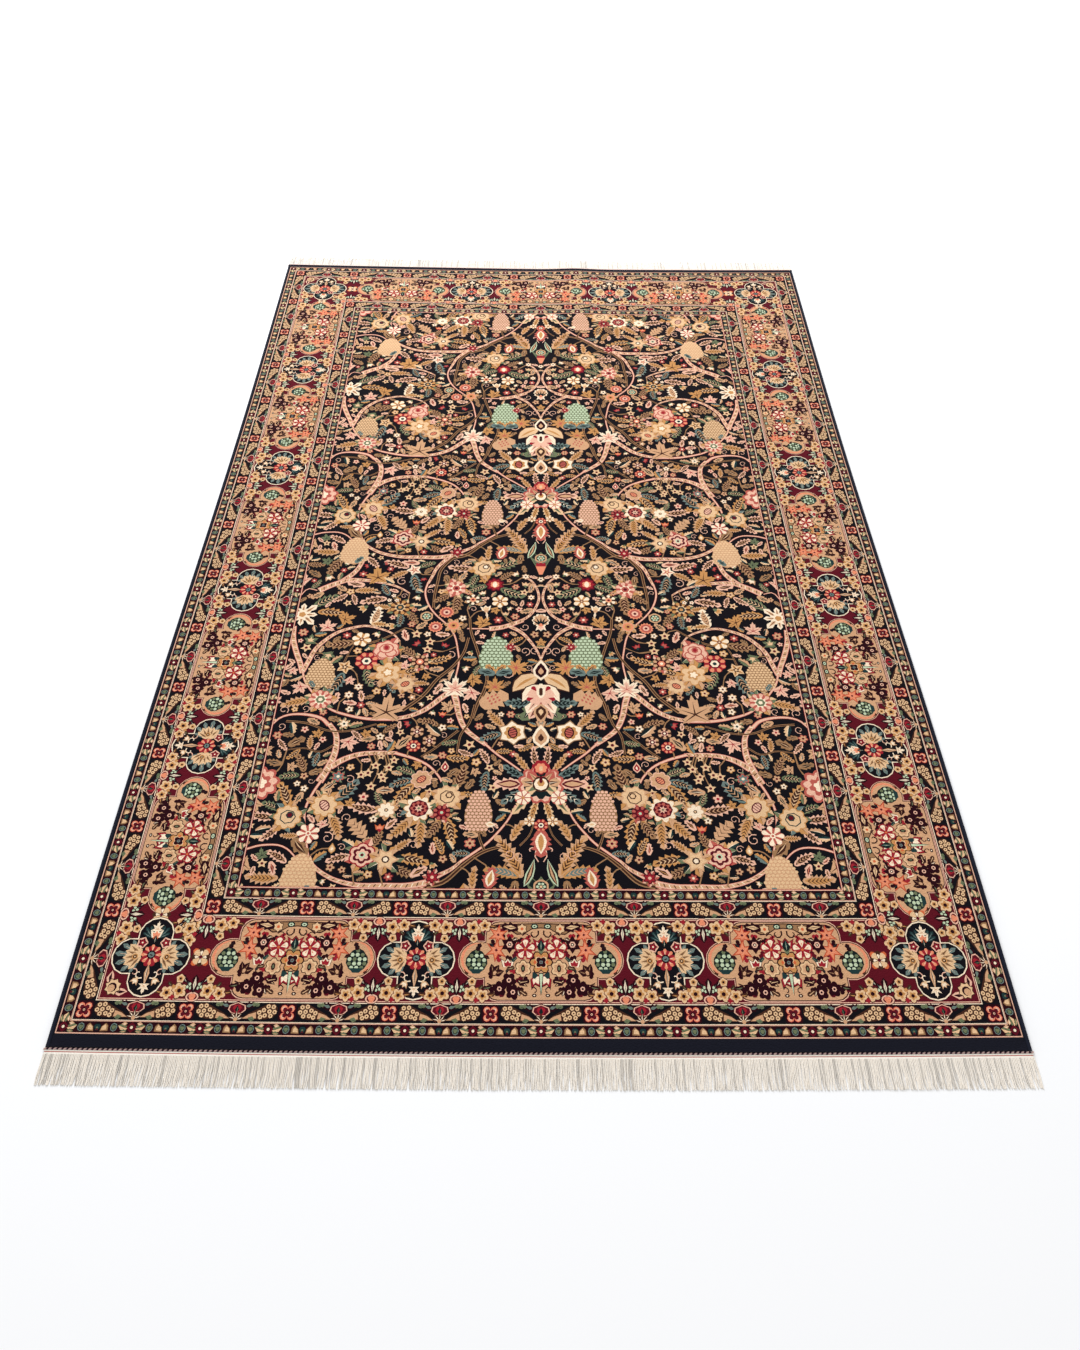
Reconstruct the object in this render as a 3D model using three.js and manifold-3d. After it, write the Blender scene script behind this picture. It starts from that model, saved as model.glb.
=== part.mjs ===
// A hand-knotted wool carpet with a floral design, lying flat, with a cotton fringe at each end.
// +X runs across the carpet, +Y along its length away from the near end, +Z up from the floor.
// The pile is one slab. Overcast cords bind its long sides. At each end a twined row and
// a flat-woven web with its fringe follow the pile. Lengths are in millimetres.
import * as THREE from "three";
import { mergeVertices } from "three/addons/utils/BufferGeometryUtils.js";
import Module from "manifold-3d";

const wasm = await Module();
wasm.setup();

// Driving dimensions
const WIDTH = 1830; // over both side cords
const PILE_LENGTH = 2780; // over the knotted pile, at its longest
const PILE_HEIGHT = 9; // foundation and pile together
const PIECE_GAP = 0.3; // between two pieces that touch

// How far the real outline strays from a rectangle
const WAIST = 9; // each long side draws in by this much
const WAIST_CENTRE = 0.3; // where along the length, from -1 at the near end to 1 at the far end
const WAIST_REACH = 0.95; // from the narrowest place to the widest, on the same scale
const NEAR_BOW = 6; // the near end's corners lie this far behind its middle
const FAR_BOW = 11; // the far end's middle lies this far in front of its corners
const FAR_RIPPLE = { height: 7, centre: 0.137, spread: 0.08 }; // a soft wave in the far end

// The pile's surface
const PILE_COLUMNS = 26;
const PILE_ROWS = 30;
const SHOULDER = { width: 5, drop: 2.5 }; // the cut pile rounds over at its rim
// The soft swells of a carpet that was lately unrolled: a slow one along both axes, a quick one across them.
// x and y are divided by these distances to give the wave's angle.
const SLOW_SWELL = { height: 0.49, x: 310, xPhase: 0.8, y: 270, yPhase: -0.4 };
const QUICK_SWELL = { height: 0.21, x: 150, y: 190 };

// The overcast cord along each long side
const SIDE_CORD = { width: 9, height: 8.2 };
const CORD_ARCH = { steps: 6, spring: 0.35 }; // the round top, and the share of the height where it begins

// The twined row that locks the pile at each end
const TWINED_ROW = { width: 4, height: 4.6 };

// The flat-woven web and its fringe at each end
const WEB = { width: 8, height: 2.6, lipWidth: 0.8, lipDrop: 0.5 }; // the lip is the soft outer edge
const FRINGE = {
  locks: 150,
  length: 55,
  rootWidth: 7.4,
  tipWidth: 5.2,
  rootHeight: 2.4,
  tipHeight: 1.7,
  rootOverlap: 1.5, // how far a lock's root reaches into the web
  topShare: 0.6, // a lock's top is this much of its width
  shortest: 0.88, // the shortest lock, as a share of the longest
  lean: 4.5, // how far the tips drift sideways, in slow waves along the fringe
  stray: 1.8, // and how far from lock to lock
  bend: { reach: 0.45, drift: 0.3 }, // where a lock bends, and its share of the drift there
};
// Steps of the fringe's waves from one lock to the next, in radians
const FRINGE_STEP = { lean: 0.31, slowLean: 0.113, stray: 1.7, length: 0.9 };
const SLOW_LEAN_SHARE = 0.4;

// Colours, with the surface that wool and cotton have
const WOOL_MIX = new THREE.MeshStandardMaterial({ color: 0x7d5f4b, roughness: 0.95, metalness: 0 });
const NAVY_WOOL = new THREE.MeshStandardMaterial({ color: 0x171c2b, roughness: 0.95, metalness: 0 });
const TWINED_WOOL = new THREE.MeshStandardMaterial({ color: 0xc9a7a0, roughness: 0.9, metalness: 0 });
const COTTON = new THREE.MeshStandardMaterial({ color: 0xe4dccb, roughness: 0.9, metalness: 0 });

// The outline
// across and along run from -1 to 1 over the pile's own width and length.
// The side cords and the ends of the webs lie a little past 1.
const CORD_SPACE = SIDE_CORD.width + PIECE_GAP;
const CARPET_EDGE = WIDTH / (WIDTH - 2 * CORD_SPACE);

function pileHalfWidthAt(along) {
  const phase = (Math.PI * (along - WAIST_CENTRE)) / WAIST_REACH;
  return WIDTH / 2 - CORD_SPACE - (WAIST * (1 + Math.cos(phase))) / 2;
}

function nearEndAt(across) {
  return -PILE_LENGTH / 2 + NEAR_BOW * across * across;
}

function farEndAt(across) {
  const bow = FAR_BOW * (1 - across * across);
  const offset = (across - FAR_RIPPLE.centre) / FAR_RIPPLE.spread;
  return PILE_LENGTH / 2 - bow + FAR_RIPPLE.height * Math.exp(-offset * offset);
}

function placeOnCarpet(across, along) {
  const onPile = THREE.MathUtils.clamp(across, -1, 1);
  return {
    x: across * pileHalfWidthAt(along),
    y: THREE.MathUtils.lerp(nearEndAt(onPile), farEndAt(onPile), (along + 1) / 2),
  };
}

// How much the swells add to the pile's height
function swellAt(x, y) {
  const { xPhase, yPhase } = SLOW_SWELL;
  const slow = Math.sin(x / SLOW_SWELL.x + xPhase) * Math.sin(y / SLOW_SWELL.y + yPhase);
  const quick = Math.sin(x / QUICK_SWELL.x - y / QUICK_SWELL.y);
  return SLOW_SWELL.height * slow + QUICK_SWELL.height * quick;
}

// Closed meshes
function meshGeometry(points, triangles) {
  const geometry = new THREE.BufferGeometry();
  geometry.setAttribute("position", new THREE.Float32BufferAttribute(points.flat(), 3));
  geometry.setIndex(triangles.flat());
  return geometry;
}

// Positions from -1 to 1 in even steps, with one more step at each end for the rounded rim.
// The pieces around the pile share its positions, so that each follows its neighbour's edge.
function gridSteps(count, rim) {
  const inner = Array.from({ length: count + 1 }, (_, i) => (1 - rim) * ((2 * i) / count - 1));
  return [-1, ...inner, 1];
}

const COLUMNS = gridSteps(PILE_COLUMNS, SHOULDER.width / (WIDTH / 2));
const ROWS = gridSteps(PILE_ROWS, SHOULDER.width / (PILE_LENGTH / 2));
const END_STATIONS = [-CARPET_EDGE, ...COLUMNS, CARPET_EDGE];

function pileGeometry() {
  const points = [];
  const triangles = [];
  const isRim = (i, last) => i === 0 || i === last;
  const topIndex = (row, column) => row * COLUMNS.length + column;
  ROWS.forEach((along, row) => {
    COLUMNS.forEach((across, column) => {
      const { x, y } = placeOnCarpet(across, along);
      const onRim = isRim(row, ROWS.length - 1) || isRim(column, COLUMNS.length - 1);
      points.push([x, y, PILE_HEIGHT + swellAt(x, y) - (onRim ? SHOULDER.drop : 0)]);
    });
  });
  for (let row = 0; row < ROWS.length - 1; row++) {
    for (let column = 0; column < COLUMNS.length - 1; column++) {
      const a = topIndex(row, column);
      const b = topIndex(row, column + 1);
      const c = topIndex(row + 1, column + 1);
      const d = topIndex(row + 1, column);
      triangles.push([a, b, c], [a, c, d]);
    }
  }
  const rim = rimLoop(ROWS.length, COLUMNS.length, topIndex);
  const floorStart = points.length;
  rim.forEach((i) => points.push([points[i][0], points[i][1], 0]));
  const centre = points.length;
  points.push([0, 0, 0]);
  rim.forEach((top, i) => {
    const next = (i + 1) % rim.length;
    const low = floorStart + i;
    const lowNext = floorStart + next;
    triangles.push([top, low, lowNext], [top, lowNext, rim[next]], [centre, lowNext, low]);
  });
  return meshGeometry(points, triangles);
}

// The grid's outer points, anticlockwise from the near left corner.
function rimLoop(rowCount, columnCount, index) {
  const loop = [];
  for (let column = 0; column < columnCount - 1; column++) loop.push(index(0, column));
  for (let row = 0; row < rowCount - 1; row++) loop.push(index(row, columnCount - 1));
  for (let column = columnCount - 1; column > 0; column--) loop.push(index(rowCount - 1, column));
  for (let row = rowCount - 1; row > 0; row--) loop.push(index(row, 0));
  return loop;
}

// A closed skin over rings of points, all with the same number of points.
function skinGeometry(rings, reversed) {
  const sides = rings[0].length;
  const triangles = [];
  const addTriangle = (a, b, c) => triangles.push(reversed ? [a, c, b] : [a, b, c]);
  for (let ring = 0; ring < rings.length - 1; ring++) {
    for (let k = 0; k < sides; k++) {
      const a = ring * sides + k;
      const b = ring * sides + ((k + 1) % sides);
      addTriangle(a, a + sides, b + sides);
      addTriangle(a, b + sides, b);
    }
  }
  const last = (rings.length - 1) * sides;
  for (let k = 1; k < sides - 1; k++) {
    addTriangle(0, k, k + 1);
    addTriangle(last, last + k + 1, last + k);
  }
  return meshGeometry(rings.flat(), triangles);
}

// A half-round section with a flat foot, anticlockwise: offset is the way outwards from the pile.
function domedSection(width, height) {
  const spring = height * CORD_ARCH.spring;
  const arch = Array.from({ length: CORD_ARCH.steps + 1 }, (_, i) => {
    const angle = (Math.PI * i) / CORD_ARCH.steps;
    return {
      offset: (width / 2) * (1 + Math.cos(angle)),
      height: spring + (height - spring) * Math.sin(angle),
    };
  });
  return [{ offset: 0, height: 0 }, { offset: width, height: 0 }, ...arch];
}

function webSection() {
  return [
    { offset: 0, height: 0 },
    { offset: WEB.width, height: 0 },
    { offset: WEB.width, height: WEB.height - WEB.lipDrop },
    { offset: WEB.width - WEB.lipWidth, height: WEB.height },
    { offset: 0, height: WEB.height },
  ];
}

// A section carried along a line of stations. place(station, offset) gives x and y.
function sweptGeometry(section, stations, place, reversed) {
  const ringAt = (station) =>
    section.map(({ offset, height }) => {
      const { x, y } = place(station, offset);
      return [x, y, height];
    });
  return skinGeometry(stations.map(ringAt), reversed);
}

// side is -1 on the left and 1 on the right.
function sideCordGeometry(side) {
  const section = domedSection(SIDE_CORD.width, SIDE_CORD.height);
  const place = (along, offset) => {
    const pileEdge = placeOnCarpet(side, along);
    return { x: pileEdge.x + side * (PIECE_GAP + offset), y: pileEdge.y };
  };
  return sweptGeometry(section, ROWS, place, side < 0);
}

// A place beyond the pile's end, offset outwards. end is -1 at the near end and 1 at the far end.
function beyondEnd(end, across, offset) {
  const edge = placeOnCarpet(across, end);
  return { x: edge.x, y: edge.y + end * offset };
}

function twinedRowGeometry(end) {
  const section = domedSection(TWINED_ROW.width, TWINED_ROW.height);
  const place = (across, offset) => beyondEnd(end, across, PIECE_GAP + offset);
  return sweptGeometry(section, END_STATIONS, place, end > 0);
}

// Solids that are joined
function solidFrom(geometry) {
  const merged = mergeVertices(geometry, 1e-4);
  return new wasm.Manifold(
    new wasm.Mesh({
      numProp: 3,
      vertProperties: new Float32Array(merged.attributes.position.array),
      triVerts: new Uint32Array(merged.index.array),
    }),
  );
}

function geometryFrom(solid) {
  const mesh = solid.getMesh();
  const geometry = new THREE.BufferGeometry();
  geometry.setAttribute("position", new THREE.BufferAttribute(mesh.vertProperties, 3));
  geometry.setIndex(new THREE.BufferAttribute(mesh.triVerts, 1));
  return geometry;
}

// One lock of fringe: four-sided, lying level on the floor, a little bent on its way to the tip.
function lockGeometry(end, index, webEdge) {
  const across = ((2 * index + 1) / FRINGE.locks - 1) * CARPET_EDGE;
  const wave = (step) => Math.sin(index * step + end);
  const lean = wave(FRINGE_STEP.lean) + SLOW_LEAN_SHARE * wave(FRINGE_STEP.slowLean);
  const drift = FRINGE.lean * lean + FRINGE.stray * wave(FRINGE_STEP.stray);
  const length = FRINGE.length * (1 - (1 - FRINGE.shortest) * wave(FRINGE_STEP.length) ** 2);
  const ringAt = ({ reach, drift: driftShare }) => {
    const width = THREE.MathUtils.lerp(FRINGE.rootWidth, FRINGE.tipWidth, reach);
    const height = THREE.MathUtils.lerp(FRINGE.rootHeight, FRINGE.tipHeight, reach);
    const offset = webEdge - FRINGE.rootOverlap + reach * (length + FRINGE.rootOverlap);
    const { x, y } = beyondEnd(end, across, offset);
    const middle = x + drift * driftShare;
    const foot = width / 2;
    const top = foot * FRINGE.topShare;
    return [
      [middle - foot, y, 0],
      [middle + foot, y, 0],
      [middle + top, y, height],
      [middle - top, y, height],
    ];
  };
  const rings = [{ reach: 0, drift: 0 }, FRINGE.bend, { reach: 1, drift: 1 }].map(ringAt);
  return skinGeometry(rings, end < 0);
}

function fringeGeometry(end) {
  const webStart = 2 * PIECE_GAP + TWINED_ROW.width;
  const placeWeb = (across, offset) => beyondEnd(end, across, webStart + offset);
  let fringe = solidFrom(sweptGeometry(webSection(), END_STATIONS, placeWeb, end > 0));
  for (let i = 0; i < FRINGE.locks; i++) {
    fringe = fringe.add(solidFrom(lockGeometry(end, i, webStart + WEB.width)));
  }
  return geometryFrom(fringe);
}

// The carpet
function namedMesh(name, geometry, material) {
  const mesh = new THREE.Mesh(geometry, material);
  mesh.name = name;
  return mesh;
}

const carpet = new THREE.Group();
carpet.add(
  namedMesh("pile", pileGeometry(), WOOL_MIX),
  namedMesh("side_cord_left", sideCordGeometry(-1), NAVY_WOOL),
  namedMesh("side_cord_right", sideCordGeometry(1), NAVY_WOOL),
  namedMesh("twined_row_near", twinedRowGeometry(-1), TWINED_WOOL),
  namedMesh("twined_row_far", twinedRowGeometry(1), TWINED_WOOL),
  namedMesh("fringe_near", fringeGeometry(-1), COTTON),
  namedMesh("fringe_far", fringeGeometry(1), COTTON),
);

// The origin is the middle of the carpet's footprint, on the floor.
const box = new THREE.Box3().setFromObject(carpet);
const middle = box.getCenter(new THREE.Vector3());
carpet.position.set(-middle.x, -middle.y, -box.min.z);

export default carpet;
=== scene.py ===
import math
import random

import bpy
import numpy as np
from mathutils import Matrix, Vector
from mathutils.geometry import delaunay_2d_cdt


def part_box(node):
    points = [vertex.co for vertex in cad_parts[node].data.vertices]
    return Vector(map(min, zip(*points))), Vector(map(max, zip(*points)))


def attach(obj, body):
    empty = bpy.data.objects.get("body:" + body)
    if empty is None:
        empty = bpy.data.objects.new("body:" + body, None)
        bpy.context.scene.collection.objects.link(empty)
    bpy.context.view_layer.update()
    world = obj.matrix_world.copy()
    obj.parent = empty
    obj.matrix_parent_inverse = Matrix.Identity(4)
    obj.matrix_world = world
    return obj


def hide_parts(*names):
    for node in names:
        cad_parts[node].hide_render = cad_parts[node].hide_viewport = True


bl_info = {
    "name": "Floral pile carpet",
    "version": (1, 0, 0),
    "blender": (4, 5, 0),
    "location": "3D View > Sidebar > Carpet",
    "description": "Builds a hand-knotted floral carpet with overcast sides and a cotton fringe at both ends",
    "category": "Object",
}

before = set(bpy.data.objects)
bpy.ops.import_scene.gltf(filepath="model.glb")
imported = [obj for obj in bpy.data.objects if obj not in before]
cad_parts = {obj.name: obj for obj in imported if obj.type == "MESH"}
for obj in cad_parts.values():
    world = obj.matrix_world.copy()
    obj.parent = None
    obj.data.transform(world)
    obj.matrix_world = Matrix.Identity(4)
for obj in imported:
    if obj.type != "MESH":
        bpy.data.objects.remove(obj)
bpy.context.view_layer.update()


# The dyes of the pile and the webs, each from 0 to 255

PAINTS = {
    "night": (0x12, 0x10, 0x15), "ink": (0x19, 0x1A, 0x23), "plum": (0x28, 0x0A, 0x12),
    "wine": (0x58, 0x12, 0x1E), "ruby": (0x94, 0x22, 0x2C), "rose": (0xB2, 0x58, 0x4C),
    "salmon": (0xDE, 0x88, 0x66), "blush": (0xE2, 0xB0, 0x96), "orange": (0xC8, 0x62, 0x3A),
    "gold": (0xBE, 0x88, 0x52), "straw": (0xDC, 0xB5, 0x8A), "tan": (0xC8, 0x9A, 0x74),
    "cream": (0xF0, 0xDA, 0xBC), "mint": (0xBA, 0xC8, 0xA6), "sage": (0x68, 0x70, 0x52),
    "teal": (0x20, 0x36, 0x36), "steel": (0x66, 0x76, 0x70), "brown": (0x42, 0x26, 0x1C),
    "pine": (0x16, 0x20, 0x20), "khaki": (0x96, 0x70, 0x4E), "cotton": (0xF2, 0xEC, 0xE0),
}

# A whole turn, and the quarter turn from the real axis to straight up
TAU = 2 * math.pi
UP = math.pi / 2


def unit(angle):
    """A step of length 1 at an angle."""
    return np.exp(1j * angle)


# Outlines: closed rows of points as complex numbers, about 0, with a reach of 1


def lobed(count, depth=0.2, steps=4, reach=1.0, turn=0.0):
    angles = np.arange(count * steps) * TAU / (count * steps)
    radii = 1 - depth * (1 - np.abs(np.sin(count * angles / 2)))
    return reach * radii * unit(angles + turn)


def star(count, inner=0.5, reach=1.0, turn=0.0):
    radii = np.tile([1.0, inner], count)
    return reach * radii * unit(np.arange(2 * count) * math.pi / count + turn)


def oval(width, height, steps=10, at=0):
    angles = np.arange(steps) * TAU / steps
    return at + width * np.cos(angles) + 1j * height * np.sin(angles)


def disc(reach, at=0, steps=5):
    return oval(reach, reach, steps, at)


def bend(places, bow):
    """Bends places along the real axis, which runs from 0 to 1, by bow radians in all."""
    if bow == 0:
        return places
    turns = np.exp(1j * bow * places.real)
    return (turns - 1) / (1j * bow) + 1j * places.imag * turns


def blade(width, teeth=0, bow=0.0, start=0.0, end=1.0, notch=0.35):
    """A leaf's outline, with its stem at 0 and its tip at 1."""
    if teeth:
        valleys = (np.arange(teeth) + 0.25) / (teeth + 0.7)
        tips = (np.arange(teeth) + 1.05) / (teeth + 0.7)
        places = np.stack([valleys, tips], 1).ravel()
        rise = np.tile([1 - notch, 1.0], teeth)
        rise *= np.sin(math.pi * np.clip(np.repeat((valleys + tips) / 2, 2), 0, 1) ** 0.8) ** 0.7
    else:
        places = np.array([0.18, 0.42, 0.68, 0.88])
        rise = np.sin(math.pi * places**0.85)
    side = np.concatenate([[0], places + 1j * width * rise, [1]])
    outline = np.concatenate([side, np.conj(side[1:-1][::-1])])
    return bend(start + (end - start) * outline, bow)


def petals(count, width, start=0.25, reach=1.0, turn=0.0):
    """Separate round petals about 0."""
    side = np.array([0, 0.4 + 0.32j * width, 0.78 + 0.5j * width, 1 + 0.22j * width])
    one = start + (reach - start) * np.concatenate([side, np.conj(side[1:][::-1])])
    return [one * unit(turn + TAU * k / count) for k in range(count)]


def stepped(outline, step):
    """The outline with no edge longer than the step."""
    places = []
    for a, b in zip(outline, np.roll(outline, -1)):
        count = max(1, math.ceil(abs(b - a) / step))
        places.append(a + (b - a) * np.arange(count) / count)
    return np.concatenate(places)


# Steps between two of a curve's points, before they are evened out
CURVE_STEPS = 8


def smooth(points, spacing):
    """A curve through the points, with steps of about the spacing."""
    p = np.asarray(points, complex)
    p = np.concatenate([[2 * p[0] - p[1]], p, [2 * p[-1] - p[-2]]])
    t = np.arange(CURVE_STEPS) / CURVE_STEPS
    line = []
    for a, b, c, d in zip(p, p[1:], p[2:], p[3:]):
        line.append(0.5 * (2 * b + (c - a) * t + (2 * a - 5 * b + 4 * c - d) * t**2
            + (3 * b - a - 3 * c + d) * t**3))
    line = np.append(np.concatenate(line), p[-2])
    reach = np.concatenate([[0], np.cumsum(np.abs(np.diff(line)))])
    even = np.linspace(0, reach[-1], max(2, round(reach[-1] / spacing) + 1))
    return np.interp(even, reach, line.real) + 1j * np.interp(even, reach, line.imag)


def ribbon(line, widths):
    ahead = np.gradient(line)
    aside = 1j * ahead / np.maximum(np.abs(ahead), 1e-9) * widths / 2
    return np.concatenate([line - aside, (line + aside)[::-1]])


# How far a corner stands out from the line between its neighbours, in millimetres, if it is kept
LEAST_RISE = 1.35
# An outline with no more corners than this stays as it is
LEAST_CORNERS = 4


def thinned(outline):
    """The outline without the corners that stand out too little to show in knots."""
    while len(outline) > LEAST_CORNERS:
        before, after = np.roll(outline, 1), np.roll(outline, -1)
        span = after - before
        rise = np.abs(((outline - before) * np.conj(span)).imag) / np.maximum(np.abs(span), 0.01)
        flat = rise < LEAST_RISE
        flat &= ~np.roll(flat, 1)
        if not flat.any():
            break
        outline = outline[~flat]
    return outline


class Chart:
    """A painted plan of the carpet in millimetres. What is drawn later lies on top."""

    def __init__(self):
        self.outlines = []
        self.paints = []

    def draw(self, outline, paint):
        self.outlines.append(np.asarray(outline, complex))
        self.paints.append(paint)

    def stamp(self, motif, at, size=1.0, turn=0.0, flip=False):
        for outline, paint in placed(motif, at, size, turn, flip):
            self.draw(thinned(outline), paint)


# Motifs: lists of outline and paint, the lowest first


def paint_all(outlines, paint):
    return [(outline, paint) for outline in outlines]


def placed(motif, at=0, size=1.0, turn=0.0, flip=False):
    spin = size * unit(turn)
    return [(at + spin * (np.conj(outline) if flip else outline), paint) for outline, paint in motif]


def mirrored(motif):
    """A motif with its mirror image beyond the vertical axis."""
    return motif + [(-np.conj(outline), paint) for outline, paint in motif]


def flower(*rings, steps=4):
    """Rings one on the other: petals, depth of the notches, reach and paint, or a disc's reach and paint."""
    motif = []
    for *notches, reach, paint in rings:
        fine = steps if reach > 0.6 else 3
        outline = lobed(*notches, fine, reach) if notches else disc(reach, 0, 4 + round(6 * reach))
        motif.append((outline, paint))
    return motif


def blossom(count, edge, petal, eye):
    """A small flower."""
    return flower((count, 0.35, 1, edge), (count, 0.45, 0.8, petal), (0.26, eye), steps=3)


def starlet():
    return [(star(5, 0.5, 1, UP), "straw"), (disc(0.3), "wine")]


def rosette(count, edge, petal, mark, heart, eye):
    """A layered flower with separate petals."""
    step = TAU / count
    motif = flower((count, 0.14, 1, edge), steps=3)
    motif += paint_all(petals(count, 0.8 * step, 0.3, 0.94, step / 2), petal)
    return motif + flower((count, 0.3, 0.56, mark), (0.4, heart), (0.2, eye))


def fringed(edge, petal, heart, eye):
    """A round flower with a fine saw edge and rings."""
    return [(star(14, 0.82), edge)] + flower((0.74, petal), (0.46, heart), (0.22, eye))


def eyed(edge, petal, ring, eye):
    """A big lobed flower whose eye looks to one side."""
    motif = flower((9, 0.16, 1, edge), (9, 0.2, 0.92, petal), (0.56, ring),
        (0.48, petal), steps=3)
    return motif + placed(flower((0.28, ring), (0.19, eye)), 0.12 + 0.14j)


def striped_eye(ring, stripe):
    motif = [(oval(0.36, 0.5, 9), ring), (oval(0.27, 0.41, 8), stripe)]
    for rise in (-0.18, 0.02, 0.22):
        band = np.array([-0.24 - 0.08j, 0.24 + 0.04j, 0.24 + 0.1j, -0.24 - 0.02j])
        motif += [(band + 1j * rise, ring)]
    return motif


def striped(edge, petal, ring, stripe):
    """A lobed flower with a striped oval eye and a crown of leaves."""
    crown = leaf("tan", "brown", None, 0.2, 2)
    motif = []
    for turn in (-0.7, 0, 0.7):
        motif += placed(crown, 0.62 * unit(UP + turn), 0.85, UP + turn)
    return motif + flower((8, 0.2, 1, edge), (8, 0.24, 0.9, petal), steps=3) + striped_eye(ring, stripe)


def cabbage(edge, petal, fold, heart):
    """A full rose seen from the side."""
    motif = flower((7, 0.14, 1, edge), (7, 0.16, 0.9, petal))
    for at, reach in ((-0.22 - 0.34j, 0.5), (0.3 - 0.3j, 0.46), (0.02 + 0.18j, 0.56)):
        motif += [(oval(reach, reach * 0.85, 9, at), fold),
            (oval(reach - 0.1, reach * 0.85 - 0.1, 9, at), petal)]
    return motif + [(oval(0.26, 0.3, 7, 0.02 + 0.26j), fold), (oval(0.15, 0.19, 6, 0.02 + 0.26j), heart)]


def leaf(edge, body, rib=None, width=0.22, teeth=3, bow=0.0):
    """An edged leaf, from its stem at 0 to its tip at 1."""
    motif = [(blade(width, teeth, bow), edge)]
    if body:
        motif += [(blade(width * 0.55, 0, bow, 0.14, 0.88), body)]
    if rib:
        motif += [(bend(np.array([0.06, 0.4 + 0.022j, 0.85, 0.4 - 0.022j]), bow), rib)]
    return motif


def leaves(*rows):
    """Leaves at their places. Each row is a leaf's own values, then its place, length and turn."""
    return [part for *kind, at, length, turn in rows for part in placed(leaf(*kind), at, length, turn)]


def halved(one, other, rib, width=0.22, teeth=3, bow=0.0):
    """A leaf whose halves differ in colour."""
    outline = blade(width, teeth)
    half = np.concatenate([outline[: len(outline) // 2 + 1], [0.5]])
    motif = [(bend(outline, bow), one), (bend(half, bow), other)]
    return motif + [(bend(np.array([0.0, 0.4 + 0.025j, 0.92, 0.4 - 0.025j]), bow), rib)]


def plume(edge, body, barb, width=0.2, teeth=5, bow=0.3):
    """A long leaf with barbs."""
    motif = [(blade(width, teeth, bow, notch=0.45), edge), (blade(width * 0.6, 0, bow, 0.05, 0.92), body)]
    for k in range(teeth):
        s = 0.14 + 0.68 * k / teeth
        for side in (1, -1):
            motif += [(bend(np.array([s, s + 0.05, s + 0.17 + 0.6j * side * width]), bow), barb)]
    return motif


# A maple leaf's lobe: share of the gap to the next lobe, and reach
MAPLE_LOBE = ((-0.62, 0.6), (-0.5, 0.78), (-0.28, 0.72), (0, 1), (0.28, 0.72), (0.5, 0.78),
    (0.62, 0.6), (1, 0.42))


def maple(body, vein, lobes=5, spread=2.1):
    """A broad leaf with jagged lobes, its stem at 0 below."""
    gap = spread / (lobes - 1)
    angles = [spread * (2 * k / (lobes - 1) - 1) for k in range(lobes)]
    points = []
    for angle in angles:
        reach = 1 - 0.3 * abs(angle) / spread
        points += [reach * share * unit(angle + aside * gap + UP) for aside, share in MAPLE_LOBE]
    motif = [(np.array(points[:-1] + [-0.3j]), body)]
    for angle in angles if vein else ():
        motif += placed([(np.array([-0.035j, 0.66, 0.035j]), vein)], 0, 1, angle + UP)
    return motif


def oak(body, vein, lobes=4, width=0.34, bow=0.25):
    """A long leaf with round lobes and dark veins."""
    motif = [(blade(width, lobes, bow, notch=0.55), body)]
    for k in range(lobes):
        s = 0.15 + 0.7 * k / lobes
        for side in (1, -1):
            motif += [(bend(np.array([s, s + 0.04, s + 0.2 + 0.62j * side * width]), bow), vein)]
    return motif


def cone(ground, scale, width=0.64, rows=12):
    """A fruit covered with scales, its stem at -1j."""
    angles = np.linspace(-UP, UP, 8)
    side = width * np.cos(angles) ** 0.9 * (1 - 0.32 * np.sin(angles)) + 1j * np.sin(angles)
    motif = [(np.concatenate([side, -np.conj(side[1:-1][::-1])]), ground)]
    pitch = 1.9 / rows
    for row in range(rows):
        rise = -0.92 + pitch * (row + 0.45)
        reach = width * max(0.0, 1 - rise * rise) ** 0.45 * (1 - 0.32 * rise)
        for k in range(-rows, rows):
            across = (k + 0.5 * (row % 2)) * pitch * 1.1
            if abs(across) < reach:
                motif += [(oval(pitch * 0.5, pitch * 0.46, 6, across + 1j * rise), scale)]
    return motif


def both_ways(half):
    """A closed outline from its right half, which starts and ends on the vertical axis."""
    half = np.array(half)
    return np.concatenate([half, -np.conj(half[1:-1][::-1])])


def tulip(cup, edge, base):
    """A bud that opens upwards, on a small base."""
    motif = [(both_ways([0, 0.5 + 0.15j, 0.62 + 0.6j, 0.75 + 1j, 0.3 + 0.72j, 1.08j]), edge)]
    motif += [(both_ways([0.12j, 0.36 + 0.26j, 0.46 + 0.72j, 0.2 + 0.6j, 0.92j]), cup)]
    return motif + [(both_ways([-0.35j, 0.1 - 0.35j, 0.34 + 0.12j, 0.12 + 0.3j, 0.3j]), base)]


def bud(edge, body, heart):
    """A closed bud, its stem at 0 and its tip at 1j."""
    drop = both_ways([0, 0.26 + 0.25j, 0.3 + 0.5j, 0.16 + 0.8j, 1j])
    return [(drop, edge), (0.12j + drop * 0.72, body), (0.28j + drop * 0.34, heart)]


def curl(paint, turns=1.2, width=0.16):
    """A tendril that winds inwards."""
    angles = np.linspace(0, TAU * turns, int(9 * turns) + 1)
    line = (1 - 0.75 * angles / angles[-1]) * unit(angles)
    return [(ribbon(line, np.linspace(width, width * 0.5, len(line))), paint)]


def scroll(paint):
    """Two tendrils that part from one stem."""
    return (placed(curl(paint), 0.55 + 0.3j, 0.5, math.pi)
        + placed(curl(paint), 0.5 - 0.55j, 0.42, math.pi, True))


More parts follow.
